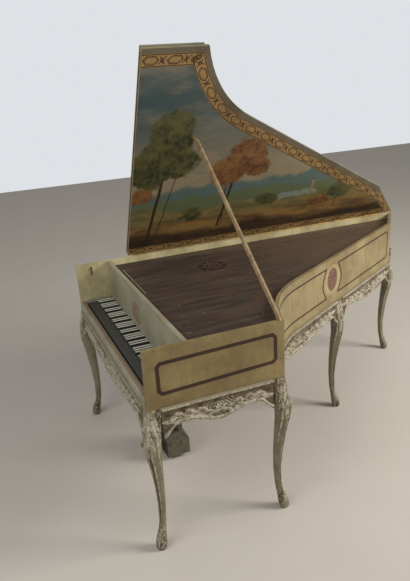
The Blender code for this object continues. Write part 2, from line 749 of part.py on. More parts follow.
def natural_outline(index):
    """Plan of one natural, notched where a sharp stands beside its tail."""
    low = natural_low(index) + KEY_SIDE_GAP
    high = natural_low(index + 1) - KEY_SIDE_GAP
    notch = SHARP_WIDTH / 2 + KEY_SIDE_GAP
    head_back = SHARP_FRONT - 2 * KEY_SIDE_GAP
    points = [flat(low, KEYS_FRONT), flat(high, KEYS_FRONT)]
    if has_sharp_after(index):
        points += [flat(high, head_back), flat(high - notch, head_back), flat(high - notch, KEYS_BACK)]
    else:
        points += [flat(high, KEYS_BACK)]
    if index > 0 and has_sharp_after(index - 1):
        points += [flat(low + notch, KEYS_BACK), flat(low + notch, head_back), flat(low, head_back)]
    else:
        points += [flat(low, KEYS_BACK)]
    return points


def sharp_profile(sunk):
    """Side view of a sharp: sloped front, level top, lower tail under the nameboard.

    sunk is how far its underside, tail and back lie inside a fused block of keys.
    """
    step_back = NAMEBOARD_FRONT + 0.002
    low, back, tail = KEY_BOTTOM + 2 * sunk, KEYS_BACK - sunk, NATURAL_TOP - sunk
    return [
        (SHARP_FRONT, low), (back, low), (back, tail), (step_back, tail),
        (step_back, SHARP_TOP), (SHARP_FRONT + SHARP_SLOPE, SHARP_TOP), (SHARP_FRONT, NATURAL_TOP + 0.002),
    ]


def sharp_mesh(name, index, sunk=0.0):
    middle = natural_low(index + 1)
    half = SHARP_WIDTH / 2 - KEY_SIDE_GAP
    return outline_mesh(name, sharp_profile(sunk), middle - half, middle + half, axis="X")


def key_block(name, first, last, holder):
    """Keys first to last as one body: slits between the naturals, sharps standing on top."""
    slit = KEY_SIDE_GAP
    back = KEYS_BACK - 0.030
    outline = [flat(natural_low(first) + slit, KEYS_FRONT)]
    for index in range(first, last):
        x = natural_low(index + 1)
        depth = SHARP_FRONT - 2 * slit if has_sharp_after(index) else back
        outline += [flat(x - slit, KEYS_FRONT), flat(x - slit, depth), flat(x + slit, depth),
                    flat(x + slit, KEYS_FRONT)]
    end = natural_low(last + 1) - slit
    outline += [flat(end, KEYS_FRONT), flat(end, KEYS_BACK), flat(natural_low(first) + slit, KEYS_BACK)]
    piece = board(name, outline, KEY_BOTTOM, NATURAL_TOP, "black_natural", holder)
    sharps = [sharp_mesh(f"{name}_sharp_{index}", index, sunk=0.003)
              for index in range(first, last) if has_sharp_after(index)]
    combine(piece, [merged(name + "_sharps", sharps)], "UNION")


def build_keys():
    """Key frame with its rails, twelve single keys in one octave, fused keys on both sides."""
    low = KEYBED_TOP + GAP
    base = low + KEY_FRAME_BASE
    post = POST + 5 * GAP
    rail_top = KEY_BOTTOM - GAP
    profile = [
        (post, low), (KEYS_BACK - 0.001, low), (KEYS_BACK - 0.001, rail_top), (KEYS_BACK - 0.025, rail_top),
        (KEYS_BACK - 0.025, base), (KEY_PIVOT_Y + 0.014, base), (KEY_PIVOT_Y + 0.005, rail_top),
        (KEY_PIVOT_Y - 0.005, rail_top), (KEY_PIVOT_Y - 0.014, base), (post + 0.030, base),
        (post + 0.030, rail_top - 0.0105), (post, rail_top - 0.0105),
    ]
    high = natural_low(NATURALS)
    board("key_frame", profile, KEYS_START, high, "plain_wood", axis="X")
    first = SINGLE_OCTAVE * 7
    key_block("bass_keys", 0, first - 1, ROOT)
    key_block("treble_keys", first + 7, NATURALS - 1, ROOT)
    for i, letter in enumerate(KEY_NAMES):
        index = first + i
        middle = natural_low(index) + NATURAL_PITCH / 2
        axis = pivot(f"key_{letter}_pivot", (middle, KEY_PIVOT_Y, KEY_BOTTOM))
        board(f"key_{letter}", natural_outline(index), KEY_BOTTOM, NATURAL_TOP, "black_natural", axis)
        if has_sharp_after(index):
            axis = pivot(f"key_{letter}_sharp_pivot", (natural_low(index + 1), KEY_PIVOT_Y, KEY_BOTTOM))
            name = f"key_{letter}_sharp"
            place(name, sharp_mesh(name, index), "bone_sharp", axis)


# Lid

LID_AXIS = Vector((-HINGE_OUT, 0.0, CASE_TOP + GAP))
FLAP_AXIS = Vector((0.0, LID_FRONT - FLAP_GAP / 2, LID_TOP + FLAP_AXIS_RISE))


def merged(name, meshes):
    """One mesh of several separate shells."""
    bm = bmesh.new()
    for mesh in meshes:
        bm.from_mesh(mesh)
        bpy.data.meshes.remove(mesh)
    return finished_mesh(name, bm)


def add_knuckles(leaf, axis_at, way, start, step, count, first, radius, tab_low, tab_high):
    """Every other knuckle of a barrel hinge on its leaf, each with the tab that carries it.

    way is the barrel's direction; tab_low and tab_high are a tab's corners across the barrel.
    """
    knuckles, tabs = [], []
    for i in range(first, count, 2):
        low = start + i * step + GAP / 2
        high = start + (i + 1) * step - GAP / 2
        knuckles.append(rod_mesh("knuckle", axis_at + way * low, axis_at + way * high, radius))
        inset = radius / 4
        tabs.append(box_mesh("tab", tab_low + way * (low + inset), tab_high + way * (high - inset)))
    combine(leaf, [merged(leaf.name + "_tabs", tabs), merged(leaf.name + "_barrel", knuckles)], "UNION")


def build_lid_hinge(lid_pivot):
    """Long brass hinge on the spine's outer face, its barrel just above the joint of lid and case."""
    start, end = LID_FRONT + 0.03, CASE_LENGTH - 0.10
    step = (end - start) / LID_KNUCKLES
    back = Vector((0, 1, 0))
    clear = HINGE_RADIUS + 0.001
    near, far = -GAP - LEAF, -GAP
    halves = (
        ("lid_hinge_case", -CASE_LEAF_DEPTH, -clear, None, 0, (-clear - 0.001, -0.001)),
        ("lid_hinge_lid", clear, LID_LEAF_DEPTH, lid_pivot, 1, (0.001, clear + 0.001)),
    )
    for name, low, high, holder, first, (tab_low, tab_high) in halves:
        leaf = box(name, (near, start, LID_AXIS.z + low), (far, end, LID_AXIS.z + high),
                   "brass", holder or ROOT)
        add_knuckles(leaf, LID_AXIS, back, start, step, LID_KNUCKLES, first, HINGE_RADIUS,
                     Vector((LID_AXIS.x, 0, LID_AXIS.z + tab_low)),
                     Vector((far - GAP, 0, LID_AXIS.z + tab_high)))


def build_flap_hinge(lid_pivot, flap_pivot):
    """Brass hinge on the top faces of the lid and the flap."""
    start, end = 0.02, CASE_WIDTH - 0.02
    step = (end - start) / FLAP_KNUCKLES
    right = Vector((1, 0, 0))
    low, high = LID_TOP + GAP, LID_TOP + GAP + LEAF
    clear = FLAP_HINGE_RADIUS + 0.0006
    middle = FLAP_AXIS.y
    halves = (
        ("flap_hinge_lid", middle + clear, middle + FLAP_LEAF_DEPTH, lid_pivot, 0,
         (middle + 0.001, middle + clear + 0.001)),
        ("flap_hinge_flap", middle - FLAP_LEAF_DEPTH, middle - clear, flap_pivot, 1,
         (middle - clear - 0.001, middle - 0.001)),
    )
    for name, front, back, holder, first, (tab_front, tab_back) in halves:
        leaf = box(name, (start, front, low), (end, back, high), "brass", holder)
        add_knuckles(leaf, FLAP_AXIS, right, start, step, FLAP_KNUCKLES, first, FLAP_HINGE_RADIUS,
                     Vector((0, tab_front, low + GAP)), Vector((0, tab_back, high + GAP / 2)))


def build_lid():
    """Main lid along the spine, front flap folded back on it, and the two long hinges."""
    lid_pivot = pivot("lid_pivot", LID_AXIS)
    edge = -LID_OVERHANG
    spine_back = meet(flat(0, 0), SPINE_WAY, tail_corner(edge), TAIL_WAY)
    outline = [flat(0, LID_FRONT), flat(CASE_WIDTH - edge, LID_FRONT), *bent_line(edge), spine_back]
    board("lid", outline, LID_BOTTOM, LID_TOP, "gilded_lid", lid_pivot)
    flap_pivot = pivot("flap_pivot", FLAP_AXIS, lid_pivot)
    box("front_flap", (0.0, edge, LID_BOTTOM + 0.002),
        (CASE_WIDTH - edge, LID_FRONT - FLAP_GAP, LID_TOP), "gilded_lid", flap_pivot)
    build_lid_hinge(lid_pivot)
    build_flap_hinge(lid_pivot, flap_pivot)
    build_prop_stick(lid_pivot)
    lid_pivot.rotation_euler = (0.0, -LID_ANGLE, 0.0)
    flap_pivot.rotation_euler = (math.pi, 0.0, 0.0)


def build_prop_stick(lid_pivot):
    """Stick whose barrel head turns on a slanting pin under the lid.

    Its foot stands on the rim at the cheek's rear corner. Because the pin slants, the stick
    swings along a cone and ends flat under the lid, pointing to the tail.
    """
    shut = Matrix.Rotation(LID_ANGLE, 3, "Y")
    foot_world = Vector((CASE_WIDTH - STICK_FOOT_IN, STICK_FOOT_Y, CASE_TOP + GAP))
    foot = LID_AXIS + shut @ (foot_world - LID_AXIS)
    pin = Vector((LID_AXIS.x + STICK_PIN_UP_LID, STICK_PIN_Y, LID_AXIS.z - STICK_PIN_DROP))
    length = (foot - pin).length
    stood = (foot - pin).normalized()
    folded = Vector((-math.sin(STICK_FOLD_WAY), math.cos(STICK_FOLD_WAY), 0.0))
    half_way = (stood + folded).normalized()
    square_to = folded.cross(stood).normalized()
    axis = half_way * math.cos(STICK_PIN_TILT) + square_to * math.sin(STICK_PIN_TILT)
    across = axis.cross(stood).normalized()
    thick = stood.cross(across).normalized()
    holder = pivot("prop_pivot", pin, lid_pivot)

    half, deep = STICK_WIDTH / 2, STICK_THICKNESS / 2
    rings = []
    for along, share in ((0.002, 0.85), (0.045, 1.0), (length * 0.9, 1.0), (length + 0.040, 0.9)):
        corners = ((-half, -deep), (half, -deep), (half, deep), (-half, deep))
        rings.append([pin + stood * along + across * w * share + thick * t * share for w, t in corners])
    bm = bmesh.new()
    shaft = loft_mesh("prop_shaft", rings)
    bm.from_mesh(shaft)
    bpy.data.meshes.remove(shaft)
    up = shut @ Vector((0, 0, 1))
    geometry = bm.verts[:] + bm.edges[:] + bm.faces[:]
    bmesh.ops.bisect_plane(bm, geom=geometry, plane_co=foot, plane_no=-up, clear_outer=True)
    rim = [edge for edge in bm.edges if edge.is_boundary]
    bmesh.ops.holes_fill(bm, edges=rim, sides=0)
    stick = place("prop_stick", finished_mesh("prop_stick", bm), "prop_wood", holder)
    head = STICK_HEAD_LENGTH / 2
    barrel = rod_mesh("prop_head", pin - axis * head, pin + axis * head, STICK_HEAD_RADIUS, 16)
    combine(stick, [barrel], "UNION")
    hole = rod_mesh("prop_pin_hole", pin - axis * 0.04, pin + axis * 0.04,
                    STICK_PIN_RADIUS + PIN_CLEARANCE)
    combine(stick, [hole], "DIFFERENCE")

    # bracket: a boss from the lid's inner face to the stick's head, with the pin standing on it
    seat = LID_BOTTOM - GAP
    top, base = [], []
    for i in range(12):
        angle = math.pi * i / 6
        round_way = across * math.cos(angle) + axis.cross(across) * math.sin(angle)
        point = pin - axis * (head + GAP) + round_way * STICK_HEAD_RADIUS
        top.append(point)
        base.append(point - axis * ((seat - point.z) / -axis.z))
    bracket = place("prop_bracket", loft_mesh("prop_bracket", [base, top], 40), "brass", lid_pivot)
    rod = rod_mesh("prop_pin", pin - axis * (head + 0.003), pin + axis * (head + 0.002), STICK_PIN_RADIUS)
    combine(bracket, [rod], "UNION")


# Pedals

def pedal_places():
    middle = (PEDAL_BOX_LOW_X + PEDAL_BOX_HIGH_X) / 2
    return ("left", middle - PEDAL_SPACING / 2), ("right", middle + PEDAL_SPACING / 2)


def build_pedals():
    """Arched pedal box hung from a pierced lyre board, two levers on one axle, and their rods."""
    centre = (PEDAL_BOX_FRONT + PEDAL_BOX_BACK) / 2
    half = (PEDAL_BOX_BACK - PEDAL_BOX_FRONT) / 2
    rise = PEDAL_BOX_TOP - PEDAL_BOX_SPRING_Z
    profile = [(PEDAL_BOX_FRONT, PEDAL_BOX_BOTTOM), (PEDAL_BOX_BACK, PEDAL_BOX_BOTTOM)]
    steps = 12
    for i in range(steps + 1):
        angle = math.pi * i / steps
        profile.append((centre + half * math.cos(angle), PEDAL_BOX_SPRING_Z + rise * math.sin(angle)))
    shell = board("pedal_box", profile, PEDAL_BOX_LOW_X, PEDAL_BOX_HIGH_X, "black_lacquer", axis="X")
    wall = PEDAL_BOX_WALL
    cuts = [box_mesh("pedal_box_hollow",
                     (PEDAL_BOX_LOW_X + wall, PEDAL_BOX_FRONT + wall, PEDAL_BOX_BOTTOM - 0.01),
                     (PEDAL_BOX_HIGH_X - wall, PEDAL_BOX_BACK - wall, PEDAL_BOX_SPRING_Z + 0.012))]
    for side, x in pedal_places():
        slot = PEDAL_ARM / 2 + 0.003
        cuts.append(box_mesh(f"pedal_slot_{side}",
                             (x - slot, PEDAL_BOX_FRONT - 0.01, PEDAL_BOX_BOTTOM + 0.010),
                             (x + slot, PEDAL_BOX_FRONT + wall + 0.005, PEDAL_AXLE_Z + 0.018)))
        cuts.append(rod_mesh(f"pedal_rod_hole_{side}", (x, ROD_Y, PEDAL_BOX_SPRING_Z - 0.01),
                             (x, ROD_Y, PEDAL_BOX_TOP + 0.01), ROD_HOLE_RADIUS))
    combine(shell, cuts, "DIFFERENCE")

    axle_low = PEDAL_BOX_LOW_X + wall + GAP
    axle_high = PEDAL_BOX_HIGH_X - wall - GAP
    axle = rod_mesh("pedal_axle", (axle_low, PEDAL_AXLE_Y, PEDAL_AXLE_Z),
                    (axle_high, PEDAL_AXLE_Y, PEDAL_AXLE_Z), PEDAL_AXLE_RADIUS)
    place("pedal_axle", axle, "steel", ROOT)

    thick = PEDAL_THICKNESS / 2
    for side, x in pedal_places():
        holder = pivot(f"pedal_{side}_pivot", (x, PEDAL_AXLE_Y, PEDAL_AXLE_Z))
        toe, arm = PEDAL_TOE / 2, PEDAL_ARM / 2
        outline = []
        for i in range(9):
            angle = math.pi * (1 + i / 8)
            outline.append(flat(x + toe * math.cos(angle), PEDAL_TIP_Y + toe + toe * math.sin(angle)))
        outline += [
            flat(x + toe, PEDAL_TIP_Y + 2.2 * toe), flat(x + arm, PEDAL_TIP_Y + 4.5 * toe),
            flat(x + arm, ROD_Y + ROD_RADIUS), flat(x - arm, ROD_Y + ROD_RADIUS),
            flat(x - arm, PEDAL_TIP_Y + 4.5 * toe), flat(x - toe, PEDAL_TIP_Y + 2.2 * toe),
        ]
        low, high = PEDAL_AXLE_Z - thick, PEDAL_AXLE_Z + thick
        lever = board(f"pedal_{side}", outline, low, high, "brass", holder)
        eye = rod_mesh(f"pedal_eye_{side}", (x - 0.03, PEDAL_AXLE_Y, PEDAL_AXLE_Z),
                       (x + 0.03, PEDAL_AXLE_Y, PEDAL_AXLE_Z), PEDAL_AXLE_RADIUS + PIN_CLEARANCE, 16)
        combine(lever, [eye], "DIFFERENCE")
        top = LIFT_RAIL_Z - GAP if side == "right" else KEYBED_TOP + 0.022
        foot = high + GAP
        rod = rod_mesh(f"pedal_rod_{side}", (x, ROD_Y, foot + 0.012), (x, ROD_Y, top), ROD_RADIUS)
        bm = bmesh.new()
        bm.from_mesh(rod)
        lowest = [vert for vert in bm.verts if vert.co.z < foot + 0.013]
        cap = [face for face in bm.faces if all(vert in lowest for vert in face.verts)]
        tip = bmesh.ops.extrude_face_region(bm, geom=cap)["geom"]
        tip_verts = [item for item in tip if isinstance(item, bmesh.types.BMVert)]
        bmesh.ops.delete(bm, geom=cap, context="FACES_ONLY")
        shrink = Matrix.Translation((x, ROD_Y, foot)) @ Matrix.Diagonal((0.3, 0.3, 0.0, 1.0))
        shrink = shrink @ Matrix.Translation((-x, -ROD_Y, -foot))
        bmesh.ops.transform(bm, matrix=shrink, verts=tip_verts)
        bpy.data.meshes.remove(rod)
        holder = pivot(f"rod_{side}_slide", (x, ROD_Y, foot))
        place(f"pedal_rod_{side}", finished_mesh(f"pedal_rod_{side}", bm, 40), "steel", holder)

    rail = pivot("lift_rail_slide", (0.0, ROD_Y, LIFT_RAIL_Z))
    box("damper_rail",
        (INNER + 0.05, ROD_Y - LIFT_RAIL_DEPTH / 2, LIFT_RAIL_Z),
        (CASE_WIDTH - INNER - 0.05, ROD_Y + LIFT_RAIL_DEPTH / 2, LIFT_RAIL_Z + LIFT_RAIL_HEIGHT),
        "plain_wood", rail)

    middle = (PEDAL_BOX_LOW_X + PEDAL_BOX_HIGH_X) / 2
    low, high = PEDAL_BOX_TOP + GAP, KEYBED_BOTTOM - GAP
    tall = high - low
    right_side, left_side = [], []
    for i in range(13):
        share = i / 12
        width = LYRE_WIDTH / 2 * (0.78 + 0.22 * math.cos(2 * math.pi * share))
        right_side.append(flat(middle + width, low + tall * share))
        left_side.append(flat(middle - width, low + tall * share))
    slots = []
    for i in (-1, 0, 1):
        x = middle + i * 0.030
        slots.append([flat(x - 0.008, low + 0.10), flat(x + 0.008, low + 0.10),
                      flat(x + 0.008, high - 0.10), flat(x - 0.008, high - 0.10)])
    board("lyre_panel", right_side + left_side[::-1], centre - LYRE_THICKNESS / 2,
          centre + LYRE_THICKNESS / 2, "black_lacquer", axis="Y", holes=slots)


def move_origin_under_the_middle():
    """Shift the root so that the middle of the base of the whole piano is the origin."""
    bpy.context.view_layer.update()
    graph = bpy.context.evaluated_depsgraph_get()
    low = Vector((math.inf,) * 3)
    high = Vector((-math.inf,) * 3)
    for piece in PIANO.objects:
        if piece.type != "MESH":
            continue
        seen = piece.evaluated_get(graph)
        for vert in seen.data.vertices:
            spot = seen.matrix_world @ vert.co
            low = Vector(map(min, low, spot))
            high = Vector(map(max, high, spot))
    ROOT.location = (-(low.x + high.x) / 2, -(low.y + high.y) / 2, -low.z)
    bpy.context.view_layer.update()


build_walls()
build_floor_boards()
build_keywell()
build_liners()
build_sounding_parts()
build_aprons()
build_legs()
build_keys()
build_lid()
build_pedals()
move_origin_under_the_middle()
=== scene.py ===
"""Looks of the grand piano: painted case, carved and limewashed stand, painted lid, pedals."""
import json
import math

import bmesh
import bpy
from mathutils import Matrix, Vector
from mathutils.bvhtree import BVHTree


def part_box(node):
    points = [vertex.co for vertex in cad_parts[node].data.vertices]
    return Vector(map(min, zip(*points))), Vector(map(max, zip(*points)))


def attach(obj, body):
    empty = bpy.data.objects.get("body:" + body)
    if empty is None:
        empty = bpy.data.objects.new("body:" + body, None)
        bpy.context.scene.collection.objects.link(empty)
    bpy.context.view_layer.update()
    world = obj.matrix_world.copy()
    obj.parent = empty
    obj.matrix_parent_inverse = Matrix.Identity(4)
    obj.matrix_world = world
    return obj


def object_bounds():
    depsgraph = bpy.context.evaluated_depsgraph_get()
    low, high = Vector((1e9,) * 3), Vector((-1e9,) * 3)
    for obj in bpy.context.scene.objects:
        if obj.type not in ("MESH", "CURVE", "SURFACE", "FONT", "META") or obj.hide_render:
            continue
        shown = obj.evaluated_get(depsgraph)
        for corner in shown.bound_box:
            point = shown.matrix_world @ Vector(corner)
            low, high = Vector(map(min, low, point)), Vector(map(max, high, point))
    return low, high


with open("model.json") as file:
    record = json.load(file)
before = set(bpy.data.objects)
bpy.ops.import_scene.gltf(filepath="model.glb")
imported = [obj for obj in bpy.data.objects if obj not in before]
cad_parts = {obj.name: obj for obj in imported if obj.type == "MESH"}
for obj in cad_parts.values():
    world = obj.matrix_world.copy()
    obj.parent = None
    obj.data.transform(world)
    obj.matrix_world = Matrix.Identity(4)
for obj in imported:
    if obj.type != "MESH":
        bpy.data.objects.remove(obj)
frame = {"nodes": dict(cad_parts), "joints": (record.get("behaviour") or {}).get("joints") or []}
cad_box = [list(corner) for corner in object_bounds()]
NODES = frame["nodes"]
SCENE = bpy.context.scene


def shade(rgb):
    """A display colour from 0 to 255 as the linear levels that a shader takes."""
    levels = [value / 255 for value in rgb]
    return [x / 12.92 if x <= 0.04045 else ((x + 0.055) / 1.055) ** 2.4 for x in levels] + [1.0]


class Finish:
    """One node material, built up step by step; every step returns a socket."""

    def __init__(self, name, roughness, metallic=0.0, source="Object"):
        self.material = bpy.data.materials.new(name)
        self.material.use_nodes = True
        self.tree = self.material.node_tree
        self.shader = self.tree.nodes["Principled BSDF"]
        self.shader.inputs["Roughness"].default_value = roughness
        self.shader.inputs["Metallic"].default_value = metallic
        self.place = self.tree.nodes.new("ShaderNodeTexCoord").outputs[source]

    def feed(self, socket, value):
        if isinstance(value, bpy.types.NodeSocket):
            self.tree.links.new(value, socket)
        else:
            socket.default_value = value

    def moved(self, stretch=(1, 1, 1), offset=(0, 0, 0), place=None):
        node = self.tree.nodes.new("ShaderNodeMapping")
        node.inputs["Scale"].default_value = stretch
        node.inputs["Location"].default_value = offset
        self.feed(node.inputs["Vector"], place or self.place)
        return node.outputs["Vector"]

    def noise(self, scale, detail=5.0, stretch=(1, 1, 1), offset=(0, 0, 0), place=None):
        node = self.tree.nodes.new("ShaderNodeTexNoise")
        node.inputs["Scale"].default_value = scale
        node.inputs["Detail"].default_value = detail
        node.inputs["Roughness"].default_value = 0.6
        self.feed(node.inputs["Vector"], self.moved(stretch, offset, place))
        return node.outputs["Fac"]

    def cells(self, scale, stretch=(1, 1, 1), place=None):
        node = self.tree.nodes.new("ShaderNodeTexVoronoi")
        node.inputs["Scale"].default_value = scale
        self.feed(node.inputs["Vector"], self.moved(stretch, (0, 0, 0), place))
        return node.outputs["Distance"]

    def step(self, value, low, high):
        """0 below low and 1 above high; the other way round where low is the larger."""
        node = self.tree.nodes.new("ShaderNodeMapRange")
        node.interpolation_type = "SMOOTHSTEP"
        flip = low > high
        ends = (high, low, 1.0, 0.0) if flip else (low, high, 0.0, 1.0)
        self.feed(node.inputs["Value"], value)
        for name, end in zip(("From Min", "From Max", "To Min", "To Max"), ends):
            node.inputs[name].default_value = end
        return node.outputs["Result"]

    def math(self, operation, a, b=0.0):
        node = self.tree.nodes.new("ShaderNodeMath")
        node.operation = operation
        self.feed(node.inputs[0], a)
        self.feed(node.inputs[1], b)
        return node.outputs["Value"]

    def parts(self, place=None):
        node = self.tree.nodes.new("ShaderNodeSeparateXYZ")
        self.feed(node.inputs[0], place or self.place)
        return node.outputs

    def mix(self, factor, a, b):
        node = self.tree.nodes.new("ShaderNodeMix")
        node.data_type = "RGBA"
        self.feed(node.inputs["Factor"], factor)
        colours = [s for s in node.inputs if s.type == "RGBA"]
        for socket, colour in zip(colours, (a, b)):
            self.feed(socket, shade(colour) if isinstance(colour, tuple) else colour)
        return next(s for s in node.outputs if s.type == "RGBA")

    def done(self, colour, height=None, distance=0.0006, strength=0.5, roughness=None):
        self.feed(self.shader.inputs["Base Color"], colour)
        if roughness is not None:
            self.feed(self.shader.inputs["Roughness"], roughness)
        if height is not None:
            bump = self.tree.nodes.new("ShaderNodeBump")
            bump.inputs["Strength"].default_value = strength
            bump.inputs["Distance"].default_value = distance
            self.feed(bump.inputs["Height"], height)
            self.feed(self.shader.inputs["Normal"], bump.outputs["Normal"])
        return self


def worn_paint(name, light, dark, worn, stretch=(1, 1, 1), wear=0.62, roughness=0.5):
    """Old oil paint: soft blotches, thin brush streaks, spots where the ground shows."""
    made = Finish(name, roughness)
    blotch = made.step(made.noise(5.0), 0.35, 0.68)
    streak = made.noise(38.0, 6.0, stretch)
    fine = made.noise(170.0, 3.0)
    colour = made.mix(blotch, light, dark)
    colour = made.mix(made.math("MULTIPLY", made.step(streak, 0.45, 0.75), 0.45), colour, dark)
    spots = made.step(made.noise(62.0, 8.0), wear, wear + 0.08)
    colour = made.mix(made.math("MULTIPLY", spots, 0.7), colour, worn)
    height = made.math("ADD", made.math("MULTIPLY", streak, 0.7), made.math("MULTIPLY", fine, 0.3))
    rough = made.math("MULTIPLY_ADD", streak, 0.25)
    rough.node.inputs[2].default_value = roughness - 0.12
    return made.done(colour, height, 0.0007, 0.45, rough)


def wood(name, light, dark, stretch, roughness=0.5, scale=18.0):
    """Wood with its grain along the axis whose stretch is small."""
    made = Finish(name, roughness)
    grain = made.noise(scale, 7.0, stretch)
    pores = made.noise(scale * 6, 3.0, stretch)
    colour = made.mix(made.step(grain, 0.32, 0.68), light, dark)
    colour = made.mix(made.math("MULTIPLY", made.step(pores, 0.58, 0.72), 0.5), colour, dark)
    return made.done(colour, pores, 0.0005, 0.4)


def metal(name, colour, tarnish, roughness):
    made = Finish(name, roughness, 1.0)
    cloud = made.step(made.noise(30.0, 5.0), 0.42, 0.7)
    rough = made.math("MULTIPLY_ADD", cloud, 0.25)
    rough.node.inputs[2].default_value = roughness
    return made.done(made.mix(cloud, colour, tarnish), made.noise(220.0), 0.0002, 0.3, rough)


def dress(finish, *names):
    """Give a finish to every slot of the named nodes."""
    for name in names:
        mesh = NODES[name].data
        for index in range(max(1, len(mesh.materials))):
            if index < len(mesh.materials):
                mesh.materials[index] = finish.material
            else:
                mesh.materials.append(finish.material)


def solid(name, bm, finish, body, smooth=None):
    """A finished piece of a bmesh that is drawn in place, riding on a body."""
    bmesh.ops.recalc_face_normals(bm, faces=bm.faces[:])
    mesh = bpy.data.meshes.new(name)
    bm.to_mesh(mesh)
    bm.free()
    mesh.materials.append(finish.material)
    if smooth:
        mesh.shade_smooth()
        mesh.set_sharp_from_angle(angle=math.radians(smooth))
    piece = bpy.data.objects.new(name, mesh)
    SCENE.collection.objects.link(piece)
    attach(piece, body)
    return piece


def loft(bm, rings, closed=False):
    """Join rings of as many points each; open lofts get their end faces."""
    loops = [[bm.verts.new(point) for point in ring] for ring in rings]
    pairs = list(zip(loops, loops[1:])) + ([(loops[-1], loops[0])] if closed else [])
    for one, two in pairs:
        for i in range(len(one)):
            j = (i + 1) % len(one)
            bm.faces.new((one[i], one[j], two[j], two[i]))
    if not closed:
        bm.faces.new(loops[0][::-1])
        bm.faces.new(loops[-1])


def strip(bm, line, width, surface, low, high, closed=False):
    """A painted or raised line of even width on a surface that turns (a, b, lift) into a place."""
    points = [Vector(point) for point in line]
    count = len(points)
    rings = []
    for i, point in enumerate(points):
        before = points[i - 1] if i or closed else None
        after = points[(i + 1) % count] if i < count - 1 or closed else None
        ways = []
        if before is not None:
            ways.append((point - before).normalized())
        if after is not None:
            ways.append((after - point).normalized())
        way = sum(ways, Vector((0, 0))).normalized()
        half = width / 2 / max(0.4, way.dot(ways[0]))
        side = Vector((-way.y, way.x)) * half
        left, right = point + side, point - side
        rings.append([surface(*left, low), surface(*right, low), surface(*right, high), surface(*left, high)])
    loft(bm, rings, closed)


def plate(bm, outline, surface, low, high):
    """A flat plate on a surface: an outline between two lifts."""
    face = bm.faces.new([bm.verts.new(surface(a, b, low)) for a, b in outline])
    grown = bmesh.ops.extrude_face_region(bm, geom=[face])["geom"]
    verts = [item for item in grown if isinstance(item, bmesh.types.BMVert)]
    for vert, (a, b) in zip(sorted_like(verts, outline, surface, low), outline):
        vert.co = surface(a, b, high)


def sorted_like(verts, outline, surface, low):
    """The extruded corners in the order of the outline."""
    left = list(verts)
    ordered = []
    for a, b in outline:
        spot = Vector(surface(a, b, low))
        nearest = min(left, key=lambda vert: (vert.co - spot).length)
        left.remove(nearest)
        ordered.append(nearest)
    return ordered


def oval(centre, radius_a, radius_b, count=40):
    turn = 2 * math.pi / count
    return [(centre[0] + radius_a * math.cos(i * turn), centre[1] + radius_b * math.sin(i * turn))
            for i in range(count)]


# Plan of the case, from the corner of the spine at the keyboard end

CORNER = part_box("spine")[0]
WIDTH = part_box("cheek")[1].x - CORNER.x
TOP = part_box("spine")[1].z
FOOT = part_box("spine")[0].z
CHEEK = 0.655
BEND_RADIUS = 0.660
BEND_START = math.radians(14.0)
TAIL = Vector((0.250, 2.070))
SPINE_END = Vector((0.0, 2.280))
BEND_CENTRE = Vector((WIDTH + BEND_RADIUS * math.sin(BEND_START), CHEEK + BEND_RADIUS * math.cos(BEND_START)))
FROM_TAIL = BEND_CENTRE - TAIL
STRAIGHT = math.sqrt(FROM_TAIL.length ** 2 - BEND_RADIUS ** 2)
BEND_END = math.atan2(FROM_TAIL.x, FROM_TAIL.y) - math.atan2(STRAIGHT, BEND_RADIUS)
ALONG = Vector((math.cos(BEND_END), -math.sin(BEND_END)))
OUT = Vector((math.sin(BEND_END), math.cos(BEND_END)))
TAIL_WAY = (TAIL - SPINE_END).normalized()
TAIL_OUT = Vector((-TAIL_WAY.y, TAIL_WAY.x))
CURVED = BEND_RADIUS * (BEND_END - BEND_START)


def at(x, y, z):
    """A place in the piano's plan as a place in the scene."""
    return Vector((CORNER.x + x, CORNER.y + y, z))


def bend(angle, inset):
    return BEND_CENTRE - Vector((math.sin(angle), math.cos(angle))) * (BEND_RADIUS + inset)


def meet(p, u, q, v):
    return p + u * ((q - p).cross(v) / u.cross(v))


def on_cheek(a, z, lift):
    return at(WIDTH + lift, a, z)


def on_front(a, z, lift):
    return at(a, -lift, z)


def on_bentside(a, z, lift):
    """a runs from the cheek round the bend and down the straight run to the tail."""
    if a < CURVED:
        spot = bend(BEND_START + a / BEND_RADIUS, -lift)
    else:
        spot = TAIL + ALONG * (STRAIGHT - (a - CURVED)) + OUT * lift
    return at(spot.x, spot.y, z)


# Case: cream oil paint gone olive with age, with darker worn spots here and there. The wood of the
# boards inside is plain.

cream = worn_paint("cream_paint", (160, 142, 100), (128, 110, 72), (92, 74, 44), (1, 1, 0.15))
dress(cream, "tail", "bentside")
# The cheek gets a darker copy of the cream paint: painted shade on the side that faces away from the main light.
shaded = worn_paint("cheek_paint_painted_shade", (150, 131, 86), (122, 102, 64), (86, 68, 40), (1, 1, 0.15))
dress(shaded, "cheek")
# The spine's inner face gets a lighter copy of the cream paint: painted light, not fading.
spine_painted_light = worn_paint("spine_paint_painted_light", (204, 192, 148), (164, 150, 108), (120, 100, 66), (1, 1, 0.15))
dress(spine_painted_light, "spine")
pale = worn_paint("pale_paint", (166, 160, 134), (140, 133, 104), (112, 100, 72), (0.2, 1, 1))
dress(pale, "nameboard", "keyslip", "key_block_bass", "key_block_treble")
plain = wood("plain_wood", (140, 108, 72), (104, 76, 48), (1, 0.08, 1), 0.6)
dress(plain, "bottom_board", "keybed", "belly_rail", "spine_liner", "bentside_liner", "bridge",
      "wrest_plank", "key_frame", "damper_rail")
spruce = wood("soundboard_spruce", (186, 152, 98), (158, 122, 74), (1, 0.05, 1), 0.45, 30.0)
dress(spruce, "soundboard")
gilt_iron = metal("gilt_iron", (150, 122, 66), (104, 84, 48), 0.38)
dress(gilt_iron, "iron_frame")
steel = metal("steel", (150, 148, 142), (104, 98, 90), 0.32)
dress(steel, "strings", "pedal_axle", "pedal_rod_left", "pedal_rod_right")
